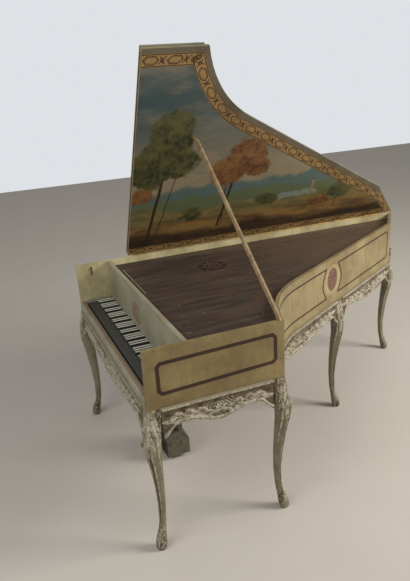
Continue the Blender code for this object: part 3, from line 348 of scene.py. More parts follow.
brass = metal("brass", (176, 138, 70), (112, 84, 44), 0.34)
dress(brass, "pedal_left", "pedal_right", "lid_hinge_case", "lid_hinge_lid", "flap_hinge_lid",
      "flap_hinge_flap", "prop_bracket")

# Painted panels: one broad brown frame with clipped corners on the cheek; on the bentside two
# thin-lined panels that curve in round an oval flower medallion.

line_paint = worn_paint("brown_line_paint", (64, 36, 12), (48, 27, 10), (116, 92, 58), (1, 1, 0.3), 0.72)
CLIP = 0.014
low_front, high_front, high_back, low_back = (0.059, 0.791), (0.057, 0.931), (0.609, 0.943), (0.610, 0.810)
frame_line = [
    (low_front[0] + CLIP, low_front[1]), (low_front[0], low_front[1] + CLIP),
    (high_front[0], high_front[1] - CLIP), (high_front[0] + CLIP, high_front[1]),
    (high_back[0] - CLIP, high_back[1]), (high_back[0], high_back[1] - CLIP),
    (low_back[0], low_back[1] + CLIP), (low_back[0] - CLIP, low_back[1]),
]
bm = bmesh.new()
strip(bm, frame_line, 0.017, on_cheek, -0.0004, 0.0005, closed=True)
solid("cheek_painted_frame", bm, line_paint, "case")

MEDALLION = CURVED + STRAIGHT - 0.862
PANEL_LOW, PANEL_HIGH = 0.777, 0.955
bm = bmesh.new()
for far, way in ((0.045, -1), (CURVED + STRAIGHT - 0.040, 1)):
    points = []
    for i in range(13):
        share = -1 + i / 6
        reach = 0.074 + 0.042 * math.cos(share * math.pi / 2)
        points.append((MEDALLION + way * reach, (PANEL_LOW + PANEL_HIGH) / 2
                       + share * (PANEL_HIGH - PANEL_LOW) / 2))
    span = far - (MEDALLION + way * 0.074)
    for level, order in ((PANEL_HIGH, range(1, 24)), (PANEL_LOW, range(23, 0, -1))):
        for i in order:
            points.append((MEDALLION + way * 0.074 + span * i / 24, level))
        if level == PANEL_HIGH:
            points += [(far - way * 0.012, level), (far, level - 0.012),
                       (far, PANEL_LOW + 0.020), (far - way * 0.020, PANEL_LOW)]
    strip(bm, points, 0.009, on_bentside, -0.0004, 0.0010, closed=True)
solid("bentside_painted_panels", bm, line_paint, "case")

halo_paint = worn_paint("medallion_ground", (184, 164, 116), (158, 136, 88), (128, 100, 60))
bm = bmesh.new()
plate(bm, oval((MEDALLION, 0.872), 0.096, 0.090), on_bentside, -0.0004, 0.0006)
solid("medallion_ground", bm, halo_paint, "case")
flower = Finish("medallion_flowers", 0.5)
petals = flower.cells(70.0)
tone = flower.mix(flower.step(petals, 0.25, 0.5), (136, 98, 80), (100, 68, 60))
tone = flower.mix(flower.step(flower.noise(60.0), 0.56, 0.64), tone, (120, 108, 70))
flower.done(tone, flower.noise(140.0), 0.0004, 0.4)
bm = bmesh.new()
plate(bm, oval((MEDALLION, 0.876), 0.060, 0.068), on_bentside, 0.0004, 0.0012)
solid("medallion_flowers", bm, flower, "case")


# Keyboard end: an oval flower painting on the nameboard, a red line and beads on the keyslip,
# and an iron hook on the spine's inner face.

def on_nameboard(a, z, lift):
    return at(a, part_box("nameboard")[0].y - CORNER.y - lift, z)


red = Finish("nameboard_flowers", 0.5)
tone = red.mix(red.step(red.cells(46.0), 0.2, 0.5), (150, 112, 88), (132, 112, 84))
tone = red.mix(red.step(red.noise(30.0), 0.46, 0.58), tone, (150, 142, 114))
axes = red.parts(red.moved((1 / 0.108, 1, 1 / 0.074), (-(CORNER.x + 0.583) / 0.108, 0, -0.871 / 0.074)))
reach = red.math("ADD", red.math("MULTIPLY", axes[0], axes[0]), red.math("MULTIPLY", axes[2], axes[2]))
tone = red.mix(red.step(reach, 0.45, 0.98), tone, (158, 151, 124))
red.done(tone, red.noise(120.0), 0.0004, 0.4)
bm = bmesh.new()
plate(bm, oval((0.583, 0.871), 0.108, 0.074), on_nameboard, -0.0003, 0.0004)
solid("nameboard_flower_oval", bm, red, "case")

slip_low, slip_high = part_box("keyslip")
red_line = worn_paint("red_line_paint", (138, 76, 48), (112, 58, 36), (150, 130, 96), (0.2, 1, 1), 0.72)
bm = bmesh.new()
rail_start, rail_end = slip_low.x - CORNER.x, slip_high.x - CORNER.x
for across, width in ((0.0185, 0.005), (0.0070, 0.003)):
    strip(bm, [(rail_start, across), (rail_end, across)], width,
          lambda a, b, lift: at(a, b, slip_high.z + lift), -0.0004, 0.0007)
solid("keyslip_red_line", bm, red_line, "case")
bm = bmesh.new()
for level, radius in ((0.762, 0.0035), (0.746, 0.0050)):
    rings = []
    for x in (rail_start, rail_end):
        rings.append([at(x, -radius * 0.9 * math.sin(math.pi * i / 6), level + radius * math.cos(math.pi * i / 6))
                      for i in range(7)])
    loft(bm, rings)
solid("keyslip_beads", bm, pale, "case", 40)

hook_iron = metal("hook_iron", (52, 48, 44), (78, 66, 56), 0.5)
bm = bmesh.new()
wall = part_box("spine")[1].x - CORNER.x
hook = [(0.000, 0.981), (0.006, 0.978), (0.007, 0.966), (0.006, 0.950), (0.010, 0.938), (0.016, 0.934),
        (0.019, 0.940), (0.018, 0.948)]
rings = []
for i, (out, z) in enumerate(hook):
    size = 0.0042 - 0.0003 * i
    rings.append([at(wall + out + size * math.cos(math.pi * j / 4) * 0.8,
                     0.085 - out * 0.3 + size * math.sin(math.pi * j / 4), z) for j in range(8)])
loft(bm, rings)
solid("lid_hook", bm, hook_iron, "case", 50)

# Keys: black naturals with a soft sheen; black sharps topped with a slip of yellowed bone.

ebony = Finish("ebony", 0.33)
ebony.done(ebony.mix(ebony.noise(60.0, 4.0, (1, 0.1, 1)), (48, 48, 45), (68, 68, 64)), ebony.noise(200.0),
           0.0002, 0.25)
dress(ebony, "key_c", "key_d", "key_e", "key_f", "key_g", "key_a", "key_b")
both = Finish("ebony_and_bone", 0.34)
height = both.parts()[2]
black = both.mix(both.noise(60.0, 4.0, (1, 0.1, 1)), (48, 48, 45), (68, 68, 64))
white = both.mix(both.noise(40.0, 4.0, (1, 0.1, 1)), (236, 234, 220), (206, 200, 180))
slip_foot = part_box("key_c_sharp")[1].z - 0.0024
both.done(both.mix(both.math("GREATER_THAN", height, slip_foot), black, white), both.noise(190.0), 0.0002, 0.25)
dress(both, "bass_keys", "treble_keys", "key_c_sharp", "key_d_sharp", "key_f_sharp", "key_g_sharp",
      "key_a_sharp")

# Cover board over the strings: dark brown, streaked from keyboard to tail, strewn with worn
# painted flowers; a pierced rose, and a pale slip of wood along its front edge.

umber = Finish("cover_paint", 0.42)
streak = umber.noise(22.0, 8.0, (1.0, 0.14, 1))
tone = umber.mix(umber.step(streak, 0.34, 0.66), (82, 65, 52), (48, 38, 30))
tone = umber.mix(umber.step(umber.noise(7.0), 0.52, 0.7), tone, (78, 52, 38))
sprigs = umber.math("MULTIPLY", umber.step(umber.cells(34.0, (1, 0.6, 1)), 0.19, 0.07),
                    umber.step(umber.noise(9.0, 3.0), 0.50, 0.58))
tone = umber.mix(umber.math("MULTIPLY", sprigs, 0.60), tone, (156, 146, 124))
# Lighter towards the tail end: painted light, the far end of the board brightened as if lit more.
painted_light_to_tail = umber.math("MULTIPLY", umber.step(umber.parts()[1], CORNER.y + 0.5, CORNER.y + 1.7), 0.38)
tone = umber.mix(painted_light_to_tail, tone, (128, 102, 76))
umber.done(tone, streak, 0.0006, 0.45, umber.step(streak, -0.8, 1.3))
dress(umber, "cover_board")
board_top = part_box("cover_board")[1].z


def on_cover(a, b, lift):
    return at(a, b, board_top + lift)


slip_wood = wood("pale_slip", (150, 138, 108), (116, 102, 76), (0.1, 1, 1))
bm = bmesh.new()
strip(bm, [(0.14, 0.245), (0.58, 0.243)], 0.008, on_cover, -0.0004, 0.0030)
solid("cover_front_slip", bm, slip_wood, "case")
rose_dark = Finish("rose_shadow", 0.7)
rose_dark.done(rose_dark.mix(rose_dark.noise(80.0), (22, 18, 16), (36, 28, 24)), rose_dark.noise(120.0))
bm = bmesh.new()
ROSE = (0.344, 0.724)
plate(bm, oval(ROSE, 0.080, 0.084, 48), on_cover, -0.0004, 0.0004)
solid("rose_opening", bm, rose_dark, "case")
rose_gilt = worn_paint("rose_carving", (118, 84, 72), (86, 60, 52), (48, 36, 30))
bm = bmesh.new()
strip(bm, oval(ROSE, 0.050, 0.050, 40), 0.005, on_cover, 0.0000, 0.0026, True)
strip(bm, oval(ROSE, 0.018, 0.018, 20), 0.005, on_cover, 0.0000, 0.0030, True)
for i in range(8):
    angle = 2 * math.pi * i / 8
    middle = (ROSE[0] + 0.034 * math.cos(angle), ROSE[1] + 0.034 * math.sin(angle))
    strip(bm, oval(middle, 0.014, 0.014, 16), 0.0035, on_cover, 0.0002, 0.0024, True)
    start = (ROSE[0] + 0.048 * math.cos(angle), ROSE[1] + 0.048 * math.sin(angle))
    end = (ROSE[0] + 0.080 * math.cos(angle), ROSE[1] + 0.080 * math.sin(angle))
    strip(bm, [start, end], 0.004, on_cover, 0.0001, 0.0024)
solid("rose_carving", bm, rose_gilt, "case")

# Lid: the inner face has a grey-brown margin, a gilt band of brown strapwork along the cheek,
# the bend, the tail and the spine, and a landscape. The flap carries on the same scheme.

lid_paint = worn_paint("lid_paint", (150, 142, 112), (122, 112, 84), (92, 78, 54), (1, 0.15, 1))
dress(lid_paint, "lid", "front_flap")
LID_AXIS = Vector(next(j for j in frame["joints"] if j["name"] == "lid_hinge")["pos_m"])
LID_TURN = Matrix.Rotation(-math.radians(61.8), 3, "Y")
LID_UNDER = 1.0005
EDGE = -0.004
BAND = 0.066
MARGIN = 0.028
SPINE_BAND = 0.046
FRONT_Y = 0.3205
FLAP_BACK = 0.3165
FOLDED_FACE = 1.0375
FOLD_SUM = 0.637


def on_lid(a, b, lift):
    """a is up the lid from the spine, b towards the tail, lift away from its inner face."""
    return LID_AXIS + LID_TURN @ (at(a, b, LID_UNDER - lift) - LID_AXIS)


def on_flap(a, b, lift):
    """The flap's painted face, which is outermost while the flap lies folded behind the lid."""
    return LID_AXIS + LID_TURN @ (at(a, FOLD_SUM - b, FOLDED_FACE + lift) - LID_AXIS)


def corner_start(inset):
    angle = math.asin((BEND_RADIUS * math.sin(BEND_START) + inset) / (BEND_RADIUS + inset))
    return bend(angle, inset)


def spine_inset(share):
    return 0.005 + SPINE_BAND * share


def lid_line(share):
    """Line at a share of the band's width, from the cheek round to the spine."""
    bent = EDGE + MARGIN + BAND * share
    tail = EDGE + 0.006 + 0.050 * share
    spine = spine_inset(share)
    tail_line = SPINE_END - TAIL_OUT * tail
    points = [Vector((WIDTH - bent, FRONT_Y)), corner_start(bent)]
    points += [bend(BEND_START + (BEND_END - BEND_START) * i / 20, bent) for i in range(1, 21)]
    points.append(meet(tail_line, TAIL_WAY, TAIL - OUT * bent, ALONG))
    points.append(meet(Vector((spine, 0)), Vector((0, 1)), tail_line, TAIL_WAY))
    points.append(Vector((spine, FRONT_Y)))
    return points


def flap_line(share):
    """The same line on the flap, from the cheek side round its front edge to the spine side."""
    edge = EDGE + MARGIN + BAND * share
    return [Vector((WIDTH - edge, FLAP_BACK)), Vector((WIDTH - edge, edge)),
            Vector((spine_inset(share), edge)), Vector((spine_inset(share), FLAP_BACK))]


margin_paint = worn_paint("lid_margin_paint", (108, 98, 78), (86, 76, 58), (60, 50, 36))
gilt = worn_paint("lid_gilt_band", (160, 128, 74), (130, 101, 54), (84, 56, 28), (1, 1, 1), 0.60, 0.42)
strap = worn_paint("lid_strapwork", (66, 39, 15), (48, 29, 12), (112, 84, 46), (1, 1, 1), 0.68)


def ring_of_quads(name, outer, inner, surface, finish, body):
    bm = bmesh.new()
    low, high = -0.0002, 0.0002
    loft(bm, [[surface(*o, low), surface(*i, low), surface(*i, high), surface(*o, high)]
              for o, i in zip(outer, inner)])
    solid(name, bm, finish, body)


def strapwork(name, line, surface, body):
    """Long hexagons and crossed knots between two lines, along the middle of a band."""
    middle = line(0.5)
    reaches = [0.0]
    for one, two in zip(middle, middle[1:]):
        reaches.append(reaches[-1] + (two - one).length)
    total = reaches[-1]

    def on_band(a, b, lift):
        points = line(b / BAND)
        i = next((k for k in range(len(reaches) - 2) if a < reaches[k + 1]), len(reaches) - 2)
        share = (a - reaches[i]) / (reaches[i + 1] - reaches[i])
        return surface(*points[i].lerp(points[i + 1], share), lift)

    bm = bmesh.new()
    low, high = 0.0001, 0.0003
    count = int(total / 0.03)
    marks = sorted(set([total * i / count for i in range(count + 1)] + reaches))
    for across, width in ((0.004, 0.0048), (BAND - 0.004, 0.0048)):
        strip(bm, [(mark, across) for mark in marks], width, on_band, low, high)
    units = max(1, round(total / 0.122))
    unit = total / units
    half = BAND / 2
    for k in range(units):
        start = k * unit + 0.008
        for inset, width in ((0.0, 0.0054), (0.0080, 0.0018)):
            wide = 0.020 - inset * 0.8
            hexagon = [(inset, 0), (0.018 + inset * 0.3, -wide), (0.060 - inset * 0.3, -wide), (0.078 - inset, 0),
                       (0.060 - inset * 0.3, wide), (0.018 + inset * 0.3, wide)]
            strip(bm, [(start + a, half + b) for a, b in hexagon], width, on_band, low, high, True)
        knot = start + 0.096
        if knot > total - 0.016:
            continue
        for flip in (1, -1):
            cross = [(-0.016, -0.019), (-0.006, -0.010), (0.006, 0.010), (0.016, 0.019)]
            strip(bm, [(knot + a, half + b * flip) for a, b in cross], 0.0052, on_band,
                  low, high + 0.00002 * flip)
        strip(bm, oval((knot, half), 0.009, 0.009, 14), 0.0038, on_band, low, high + 0.00005, True)
    solid(name, bm, strap, body)


def inset_edge(inset):
    points = [Vector((WIDTH - inset, FRONT_Y)), corner_start(inset)]
    points += [bend(BEND_START + (BEND_END - BEND_START) * i / 20, inset) for i in range(1, 21)]
    points.append(meet(SPINE_END - TAIL_OUT * inset, TAIL_WAY, TAIL - OUT * inset, ALONG))
    return points


outer_edge = inset_edge(EDGE + 0.001)
ring_of_quads("lid_margin", outer_edge, lid_line(0.0)[:len(outer_edge)], on_lid, margin_paint, "lid")
ring_of_quads("lid_gilt_band", lid_line(0.0), lid_line(1.0), on_lid, gilt, "lid")
strapwork("lid_strapwork", lid_line, on_lid, "lid")
flap_edge = [Vector((WIDTH - EDGE - 0.001, FLAP_BACK)), Vector((WIDTH - EDGE - 0.001, EDGE + 0.001)),
             Vector((0.001, EDGE + 0.001))]
ring_of_quads("flap_margin", flap_edge, flap_line(0.0)[:3], on_flap, margin_paint, "front_flap")
ring_of_quads("flap_gilt_band", flap_line(0.0), flap_line(1.0), on_flap, gilt, "front_flap")
strapwork("flap_strapwork", flap_line, on_flap, "front_flap")

# Landscape: an open sky, blue hills, a lake with a small tower, a dark tree at the front end
# and a russet one towards the middle, a sunlit bank and brown ground below.

scape = Finish("lid_landscape", 0.45, source="UV")
wobble = scape.tree.nodes.new("ShaderNodeTexNoise")
wobble.inputs["Scale"].default_value = 7.0
wobble.inputs["Detail"].default_value = 9.0
wobble.inputs["Roughness"].default_value = 0.72
scape.feed(wobble.inputs["Vector"], scape.place)
push = scape.tree.nodes.new("ShaderNodeVectorMath")
push.operation = "MULTIPLY_ADD"
push.inputs[1].default_value = (0.14, 0.14, 0.0)
push.inputs[2].default_value = (-0.07, -0.07, 0.0)
scape.feed(push.inputs[0], wobble.outputs["Color"])
shift = scape.tree.nodes.new("ShaderNodeVectorMath")
shift.operation = "ADD"
scape.feed(shift.inputs[0], scape.place)
scape.feed(shift.inputs[1], push.outputs[0])
along, up, _ = scape.parts(shift.outputs[0])
true_along, true_up, _ = scape.parts()


def hill(base, rise, scale, seed):
    """How far a place lies above a rolling line."""
    wave = scape.noise(scale, 3.0, (1, 0, 0), (seed, 0, 0))
    line = scape.math("MULTIPLY_ADD", wave, rise)
    line.node.inputs[2].default_value = base
    return scape.math("SUBTRACT", up, line)


def crown(centre, radius_a, radius_b, scale=22.0, ragged=0.9, fade=0.26):
    """1 inside a ragged leafy oval."""
    a = scape.math("DIVIDE", scape.math("SUBTRACT", along, centre[0]), radius_a)
    b = scape.math("DIVIDE", scape.math("SUBTRACT", up, centre[1]), radius_b)
    reach = scape.math("SQRT", scape.math("ADD", scape.math("MULTIPLY", a, a), scape.math("MULTIPLY", b, b)))
    edge = scape.math("ADD", reach, scape.math("MULTIPLY", scape.noise(scale, 8.0), ragged))
    return scape.step(edge, 1.0 + ragged * 0.5 + fade / 2, 1.0 + ragged * 0.5 - fade / 2)


def bar(low_a, high_a, low_b, high_b, lean=0.0, fade=0.005):
    """1 inside an upright bar, leaning by lean for each metre up."""
    a = scape.math("SUBTRACT", true_along, scape.math("MULTIPLY", up, lean))
    sides = scape.math("MULTIPLY", scape.step(a, low_a, low_a + fade), scape.step(a, high_a, high_a - fade))
    ends = scape.math("MULTIPLY", scape.step(true_up, low_b, low_b + fade),
                      scape.step(true_up, high_b, high_b - fade))
    return scape.math("MULTIPLY", sides, ends)


def toned(factor, share):
    return scape.math("MULTIPLY", factor, share)


view = scape.mix(scape.step(up, 0.42, 1.02), (150, 136, 106), (58, 78, 80))
cloud = scape.step(scape.noise(3.1, 8.0, (0.7, 1.5, 1)), 0.46, 0.66)
view = scape.mix(toned(cloud, 0.52), view, (146, 130, 106))
haze = scape.step(scape.noise(5.0, 7.0, (0.6, 2.2, 1), (4, 2, 0)), 0.48, 0.70)
view = scape.mix(toned(haze, 0.55), view, (92, 104, 98))
far_hills = scape.mix(scape.noise(9.0, 6.0, (0.6, 2, 1)), (98, 118, 112), (74, 94, 88))
view = scape.mix(scape.step(hill(0.34, 0.24, 1.9, 3.0), 0.020, -0.020), view, far_hills)
near_hills = scape.mix(scape.noise(13.0, 7.0, (0.6, 1.6, 1)), (82, 98, 74), (104, 110, 72))
view = scape.mix(scape.step(hill(0.27, 0.24, 2.6, 9.0), 0.014, -0.014), view, near_hills)
meadow = scape.mix(scape.step(scape.noise(9.0, 8.0, (0.5, 2.0, 1)), 0.35, 0.65), (88, 90, 54), (132, 114, 70))
view = scape.mix(scape.step(hill(0.20, 0.21, 2.1, 5.0), 0.016, -0.016), view, meadow)
view = scape.mix(toned(crown((1.36, 0.300), 0.19, 0.026, 10.0, 0.3), 0.85), view, (128, 138, 128))
view = scape.mix(toned(bar(1.500, 1.528, 0.300, 0.400), 0.9), view, (142, 120, 90))
view = scape.mix(bar(1.496, 1.532, 0.396, 0.410), view, (92, 62, 44))
bank = scape.mix(scape.step(scape.noise(8.0, 8.0, (0.45, 2.0, 1), (2, 7, 0)), 0.38, 0.60), (92, 70, 42), (146, 112, 60))
view = scape.mix(scape.step(hill(0.12, 0.20, 1.6, 12.0), 0.030, -0.030), view, bank)
ground = scape.mix(scape.step(scape.noise(11.0, 8.0, (0.5, 1.8, 1)), 0.36, 0.66), (66, 46, 28), (40, 30, 20))
view = scape.mix(scape.step(hill(0.03, 0.20, 1.3, 21.0), 0.040, -0.040), view, ground)
for low_a, high_a, low_b, high_b, lean in (
        (0.405, 0.429, 0.10, 0.64, 0.14), (0.455, 0.466, 0.12, 0.55, 0.20), (0.850, 0.872, 0.13, 0.58, 0.16),
        (0.915, 0.926, 0.14, 0.52, -0.06), (1.716, 1.728, 0.14, 0.28, 0.03)):
    view = scape.mix(bar(low_a, high_a, low_b, high_b, lean), view, (58, 40, 24))
leaves = scape.step(scape.noise(30.0, 8.0), 0.36, 0.66)
light_side = scape.step(scape.noise(8.0, 4.0, (1, 1, 1), (1, 5, 0)), 0.40, 0.62)
green = scape.mix(leaves, (40, 46, 26), (78, 80, 44))
green = scape.mix(toned(light_side, 0.5), green, (110, 100, 56))
for centre, ra, rb in (((0.52, 0.80), 0.13, 0.17), ((0.42, 0.62), 0.13, 0.14), ((0.58, 0.64), 0.11, 0.10),
                       ((1.75, 0.30), 0.10, 0.07), ((1.20, 0.30), 0.08, 0.045), ((0.70, 0.26), 0.07, 0.05)):
    view = scape.mix(crown(centre, ra, rb), view, green)
russet = scape.mix(leaves, (78, 46, 24), (124, 82, 44))
russet = scape.mix(toned(light_side, 0.5), russet, (152, 110, 62))
for centre, ra, rb in (((1.00, 0.64), 0.12, 0.13), ((0.88, 0.54), 0.11, 0.10), ((1.08, 0.55), 0.09, 0.07),
                       ((1.60, 0.22), 0.08, 0.045), ((0.37, 0.44), 0.07, 0.06)):
    view = scape.mix(crown(centre, ra, rb), view, russet)
veil = scape.noise(60.0, 5.0)
view = scape.mix(toned(scape.step(veil, 0.45, 0.75), 0.22), view, (98, 78, 50))
scape.done(view, veil, 0.0004, 0.4)


def landscape(name, outline, surface, unturned, body):
    bm = bmesh.new()
    plate(bm, [tuple(point) for point in outline], surface, -0.0002, 0.0002)
    picture = solid(name, bm, scape, body)
    layer = picture.data.uv_layers.new(name="place_on_lid")
    for loop in picture.data.loops:
        layer.data[loop.index].uv = unturned(picture.data.vertices[loop.vertex_index].co)


def lid_place(co):
    spot = LID_TURN.inverted() @ (co - LID_AXIS) + LID_AXIS
    return (spot.y - CORNER.y, spot.x - CORNER.x)


def flap_place(co):
    folded, across = lid_place(co)
    return (FOLD_SUM - folded, across)


landscape("lid_landscape", lid_line(1.0), on_lid, lid_place, "lid")
landscape("flap_landscape", flap_line(1.0), on_flap, flap_place, "front_flap")

# Prop stick: bare beech.

beech = wood("prop_beech", (170, 144, 104), (130, 106, 74), (1, 0.12, 0.12), 0.48, 40.0)
dress(beech, "prop_stick")

# Stand: oak, carved and limewashed. White lies on what stands proud, bare brown wood shows in
# the hollows and green-grey on the plain runs.

lime = Finish("limewashed_oak", 0.62)
grain = lime.noise(30.0, 8.0, (1, 1, 0.12))
patch = lime.noise(11.0, 6.0)
level = lime.parts()[2]
carved = lime.math("MAXIMUM", lime.step(level, 0.50, 0.60), lime.step(level, 0.13, 0.09))
tone = lime.mix(lime.step(patch, 0.42, 0.66), (132, 125, 99), (112, 104, 76))
tone = lime.mix(lime.math("MULTIPLY", lime.step(grain, 0.50, 0.62), carved), tone, (76, 56, 36))
chips = lime.math("MULTIPLY_ADD", carved, 0.75)
chips.node.inputs[2].default_value = 0.12
chips = lime.math("MULTIPLY", lime.step(lime.noise(85.0, 6.0), 0.52, 0.62), chips)
tone = lime.mix(chips, tone, (178, 170, 148))
lime.done(tone, grain, 0.0012, 0.6)
dress(lime, "front_bass_leg", "front_treble_leg", "cheek_rear_leg", "bentside_leg", "tail_leg", "spine_apron")
recess = Finish("apron_recess", 0.66)
grain = recess.noise(26.0, 8.0, (1, 1, 1))
tone = recess.mix(recess.step(grain, 0.44, 0.64), (106, 94, 68), (68, 50, 34))
tone = recess.mix(recess.math("MULTIPLY", recess.step(recess.noise(90.0, 6.0), 0.58, 0.68), 0.7), tone,
                  (166, 156, 134))
level = recess.parts()[2]
tone = recess.mix(recess.math("MULTIPLY", recess.step(level, 0.706, 0.712), 0.75), tone, (158, 150, 126))
recess.done(tone, grain, 0.0012, 0.6)
dress(recess, "front_apron", "cheek_apron", "bentside_front_apron", "bentside_rear_apron")
gesso = Finish("white_carving", 0.6)
fleck = gesso.noise(120.0, 7.0)
tone = gesso.mix(gesso.step(gesso.noise(34.0, 6.0), 0.40, 0.66), (184, 175, 154), (138, 125, 100))
tone = gesso.mix(gesso.step(fleck, 0.54, 0.64), tone, (82, 64, 44))
gesso.done(tone, fleck, 0.0010, 0.6)

TREES = {}


def cast(node, start, way):
    """Where a straight line first meets a node, and the way out of its surface there."""
    if node not in TREES:
        mesh = NODES[node].data
        TREES[node] = BVHTree.FromPolygons([v.co.copy() for v in mesh.vertices],
                                           [tuple(p.vertices) for p in mesh.polygons])
    spot, _, _, _ = TREES[node].ray_cast(start, way)
    return spot


def apron_surface(node, face):
    """Turns (along, height, lift) into a place on an apron's carved face."""
    def surface(a, z, lift):
        start, inside = face(a, z, 0.06), face(a, z, -0.01)
        way = (inside - start).normalized()
        spot = cast(node, start, way)
        if spot is None:
            spot = face(a, z, 0.002)
        return spot - way * lift
    return surface


def leaf(bm, surface, base, angle, length, width, curl=0.0, rise=0.006, lobes=3, steps=10):
    """A carved leaf: a ridge with lobed edges along a line that may curl."""
    rings = []
    a, z = base
    for i in range(steps + 1):
        share = i / steps
        heading = angle + curl * share * share
        swell = math.sin(math.pi * min(1.0, 0.08 + 0.92 * share ** 0.8)) ** 0.75 if i < steps else 0.03
        half = width / 2 * max(0.05, swell) * (0.72 + 0.28 * abs(math.cos(math.pi * lobes * share)))
        side_a, side_z = -math.sin(heading) * half, math.cos(heading) * half
        crest = rise * (0.35 + 0.65 * math.sin(math.pi * min(1.0, share * 1.05)))
        rings.append([
            surface(a + side_a, z + side_z, -0.001), surface(a + side_a, z + side_z, 0.0012),
            surface(a + side_a * 0.45, z + side_z * 0.45, crest * 0.72), surface(a, z, crest),
            surface(a - side_a * 0.45, z - side_z * 0.45, crest * 0.72),
            surface(a - side_a, z - side_z, 0.0012), surface(a - side_a, z - side_z, -0.001),
        ])
        a += math.cos(heading) * length / steps
        z += math.sin(heading) * length / steps
    loft(bm, rings)


def apron_low(along, length):
    """Height of an apron's lower edge, as the board is sawn."""
    def smooth(value):
        value = min(max(value, 0.0), 1.0)
        return value * value * (3 - 2 * value)
    end = min(along, length - along)
    return 0.580 + 0.057 * smooth(end / 0.075) - 0.034 * smooth((end - 0.120) / max(length / 2 - 0.120, 0.05))


def carve(name, node, face, start, length):
    """White carving of one apron: a shell at the middle, leaf scrolls beside it, a rim below."""
    surface = apron_surface(node, face)
    bm = bmesh.new()
    middle = start + length / 2
    foot = apron_low(length / 2, length)
    for i in range(9):
        angle = -math.pi / 2 + (i - 4) * 0.33
        leaf(bm, surface, (middle, foot + 0.054), angle, 0.047, 0.016, 0.0, 0.009, 1, 7)
    for i in range(5):
        leaf(bm, surface, (middle, foot + 0.054), math.pi / 2 + (i - 2) * 0.5, 0.038, 0.015, 0.0, 0.007, 2, 8)
    reach = length * 0.37
    count = max(5, int(reach / 0.027))
    for way in (1, -1):
        for k in range(count):
            share = k / count
            a = middle + way * (0.026 + reach * share)
            low = apron_low(a - start, length)
            z = (low + 0.700) / 2 - 0.002
            lean = 0.78 - 0.3 * share if k % 2 else -0.62 + 0.3 * share
            size = 0.074 - 0.026 * share
            angle = lean if way > 0 else math.pi - lean
            leaf(bm, surface, (a, z), angle, size, 0.025, -way * lean * 2.4, 0.0085, 3, 12)
            turn = -lean * 0.9 if way > 0 else math.pi + lean * 0.9
            leaf(bm, surface, (a + way * 0.006, z), turn, size * 0.6, 0.016, way * lean * 3.0, 0.006, 2, 9)
            if k % 3 == 1:
                leaf(bm, surface, (a, low + 0.018), 0.25 if way > 0 else math.pi - 0.25, 0.055, 0.018,
                     way * 0.9, 0.0075, 3, 10)
        tip = middle + way * (0.030 + reach)
        z = (apron_low(tip - start, length) + 0.700) / 2
        angle = 0.12 if way > 0 else math.pi - 0.12
        leaf(bm, surface, (tip - way * 0.03, z - 0.010), angle, min(0.12, length * 0.14), 0.030, 0.0, 0.007, 5, 16)
    for k in range(int(length * 250)):
        share, spread = (k * 0.618034) % 1.0, (k * 0.754878) % 1.0
        a = middle + (share - 0.5) * length * 0.66
        low = apron_low(a - start, length)
        z = low + 0.016 + spread * (0.694 - low) * (0.92 - 0.9 * abs(share - 0.5))
        leaf(bm, surface, (a, z), k * 2.39996, 0.020, 0.0055, 0.7, 0.0045, 1, 4)
    solid(name + "_carving", bm, gesso, "case", 60)
    steps = max(24, int(length / 0.010))
    for piece, level, tall, deep, beat in (("_rim", 0.0100, 0.0100, 0.0075, 120), ("_top_bead", None, 0.0062, 0.0046, 230)):
        bm = bmesh.new()
        rings = []
        for i in range(steps + 1):
            along = 0.003 + (length - 0.006) * i / steps
            z = 0.7165 if level is None else apron_low(along, length) + level
            swing = 1 + 0.14 * math.sin(along * beat) + 0.05 * math.sin(along * beat * 2.7)
            rings.append([face(start + along, z + tall * math.sin(math.pi * j / 4) * swing,
                               0.0085 + deep * math.cos(math.pi * j / 4) * swing) for j in range(8)])
        loft(bm, rings)
        solid(name + piece, bm, gesso, "case", 60)


POST = 0.0603
carve("front_apron", "front_apron", on_front, POST, WIDTH - 2 * POST)
carve("cheek_apron", "cheek_apron", on_cheek, POST, CHEEK - 2 * POST)
LEG_AT = CURVED + STRAIGHT - 0.772
carve("bentside_front_apron", "bentside_front_apron", on_bentside, POST, LEG_AT - 0.0303 - POST)
carve("bentside_rear_apron", "bentside_rear_apron", on_bentside, LEG_AT + 0.0303,
      CURVED + STRAIGHT - LEG_AT - 0.0303 - 0.004)

# Legs: cabriole, with a leafy knee, a raised edge down the front and a leaf over the toe.

LEAN = ((0.725, 0.000), (0.660, 0.008), (0.615, 0.018), (0.570, 0.024), (0.510, 0.022), (0.420, 0.008),
        (0.320, -0.004), (0.220, -0.009), (0.130, -0.004), (0.090, 0.006), (0.062, 0.016), (0.032, 0.024),
        (0.000, 0.027))


def lean_at(z):
    for (high, a), (low, b) in zip(LEAN, LEAN[1:]):
        if z >= low:
            return b + (a - b) * (z - low) / (high - low)
    return LEAN[-1][1]


def leg_surface(node, centre, out):
    def surface(a, z, lift):
        """a is the way round the leg in metres from its front edge."""
        angle = a / 0.030
        way = Matrix.Rotation(angle, 2) @ out
        spot = centre + out * lean_at(z)
        start = at(*(spot + way * 0.09), z)
        inwards = Vector((-way.x, -way.y, 0.0))
        hit = cast(node, start, inwards)
        if hit is None:
            hit = start + inwards * 0.06
        spot = hit - inwards * lift
        for axis in (0, 1):
            spot[axis] = min(max(spot[axis], cad_box[0][axis]), cad_box[1][axis])
        return spot
    return surface


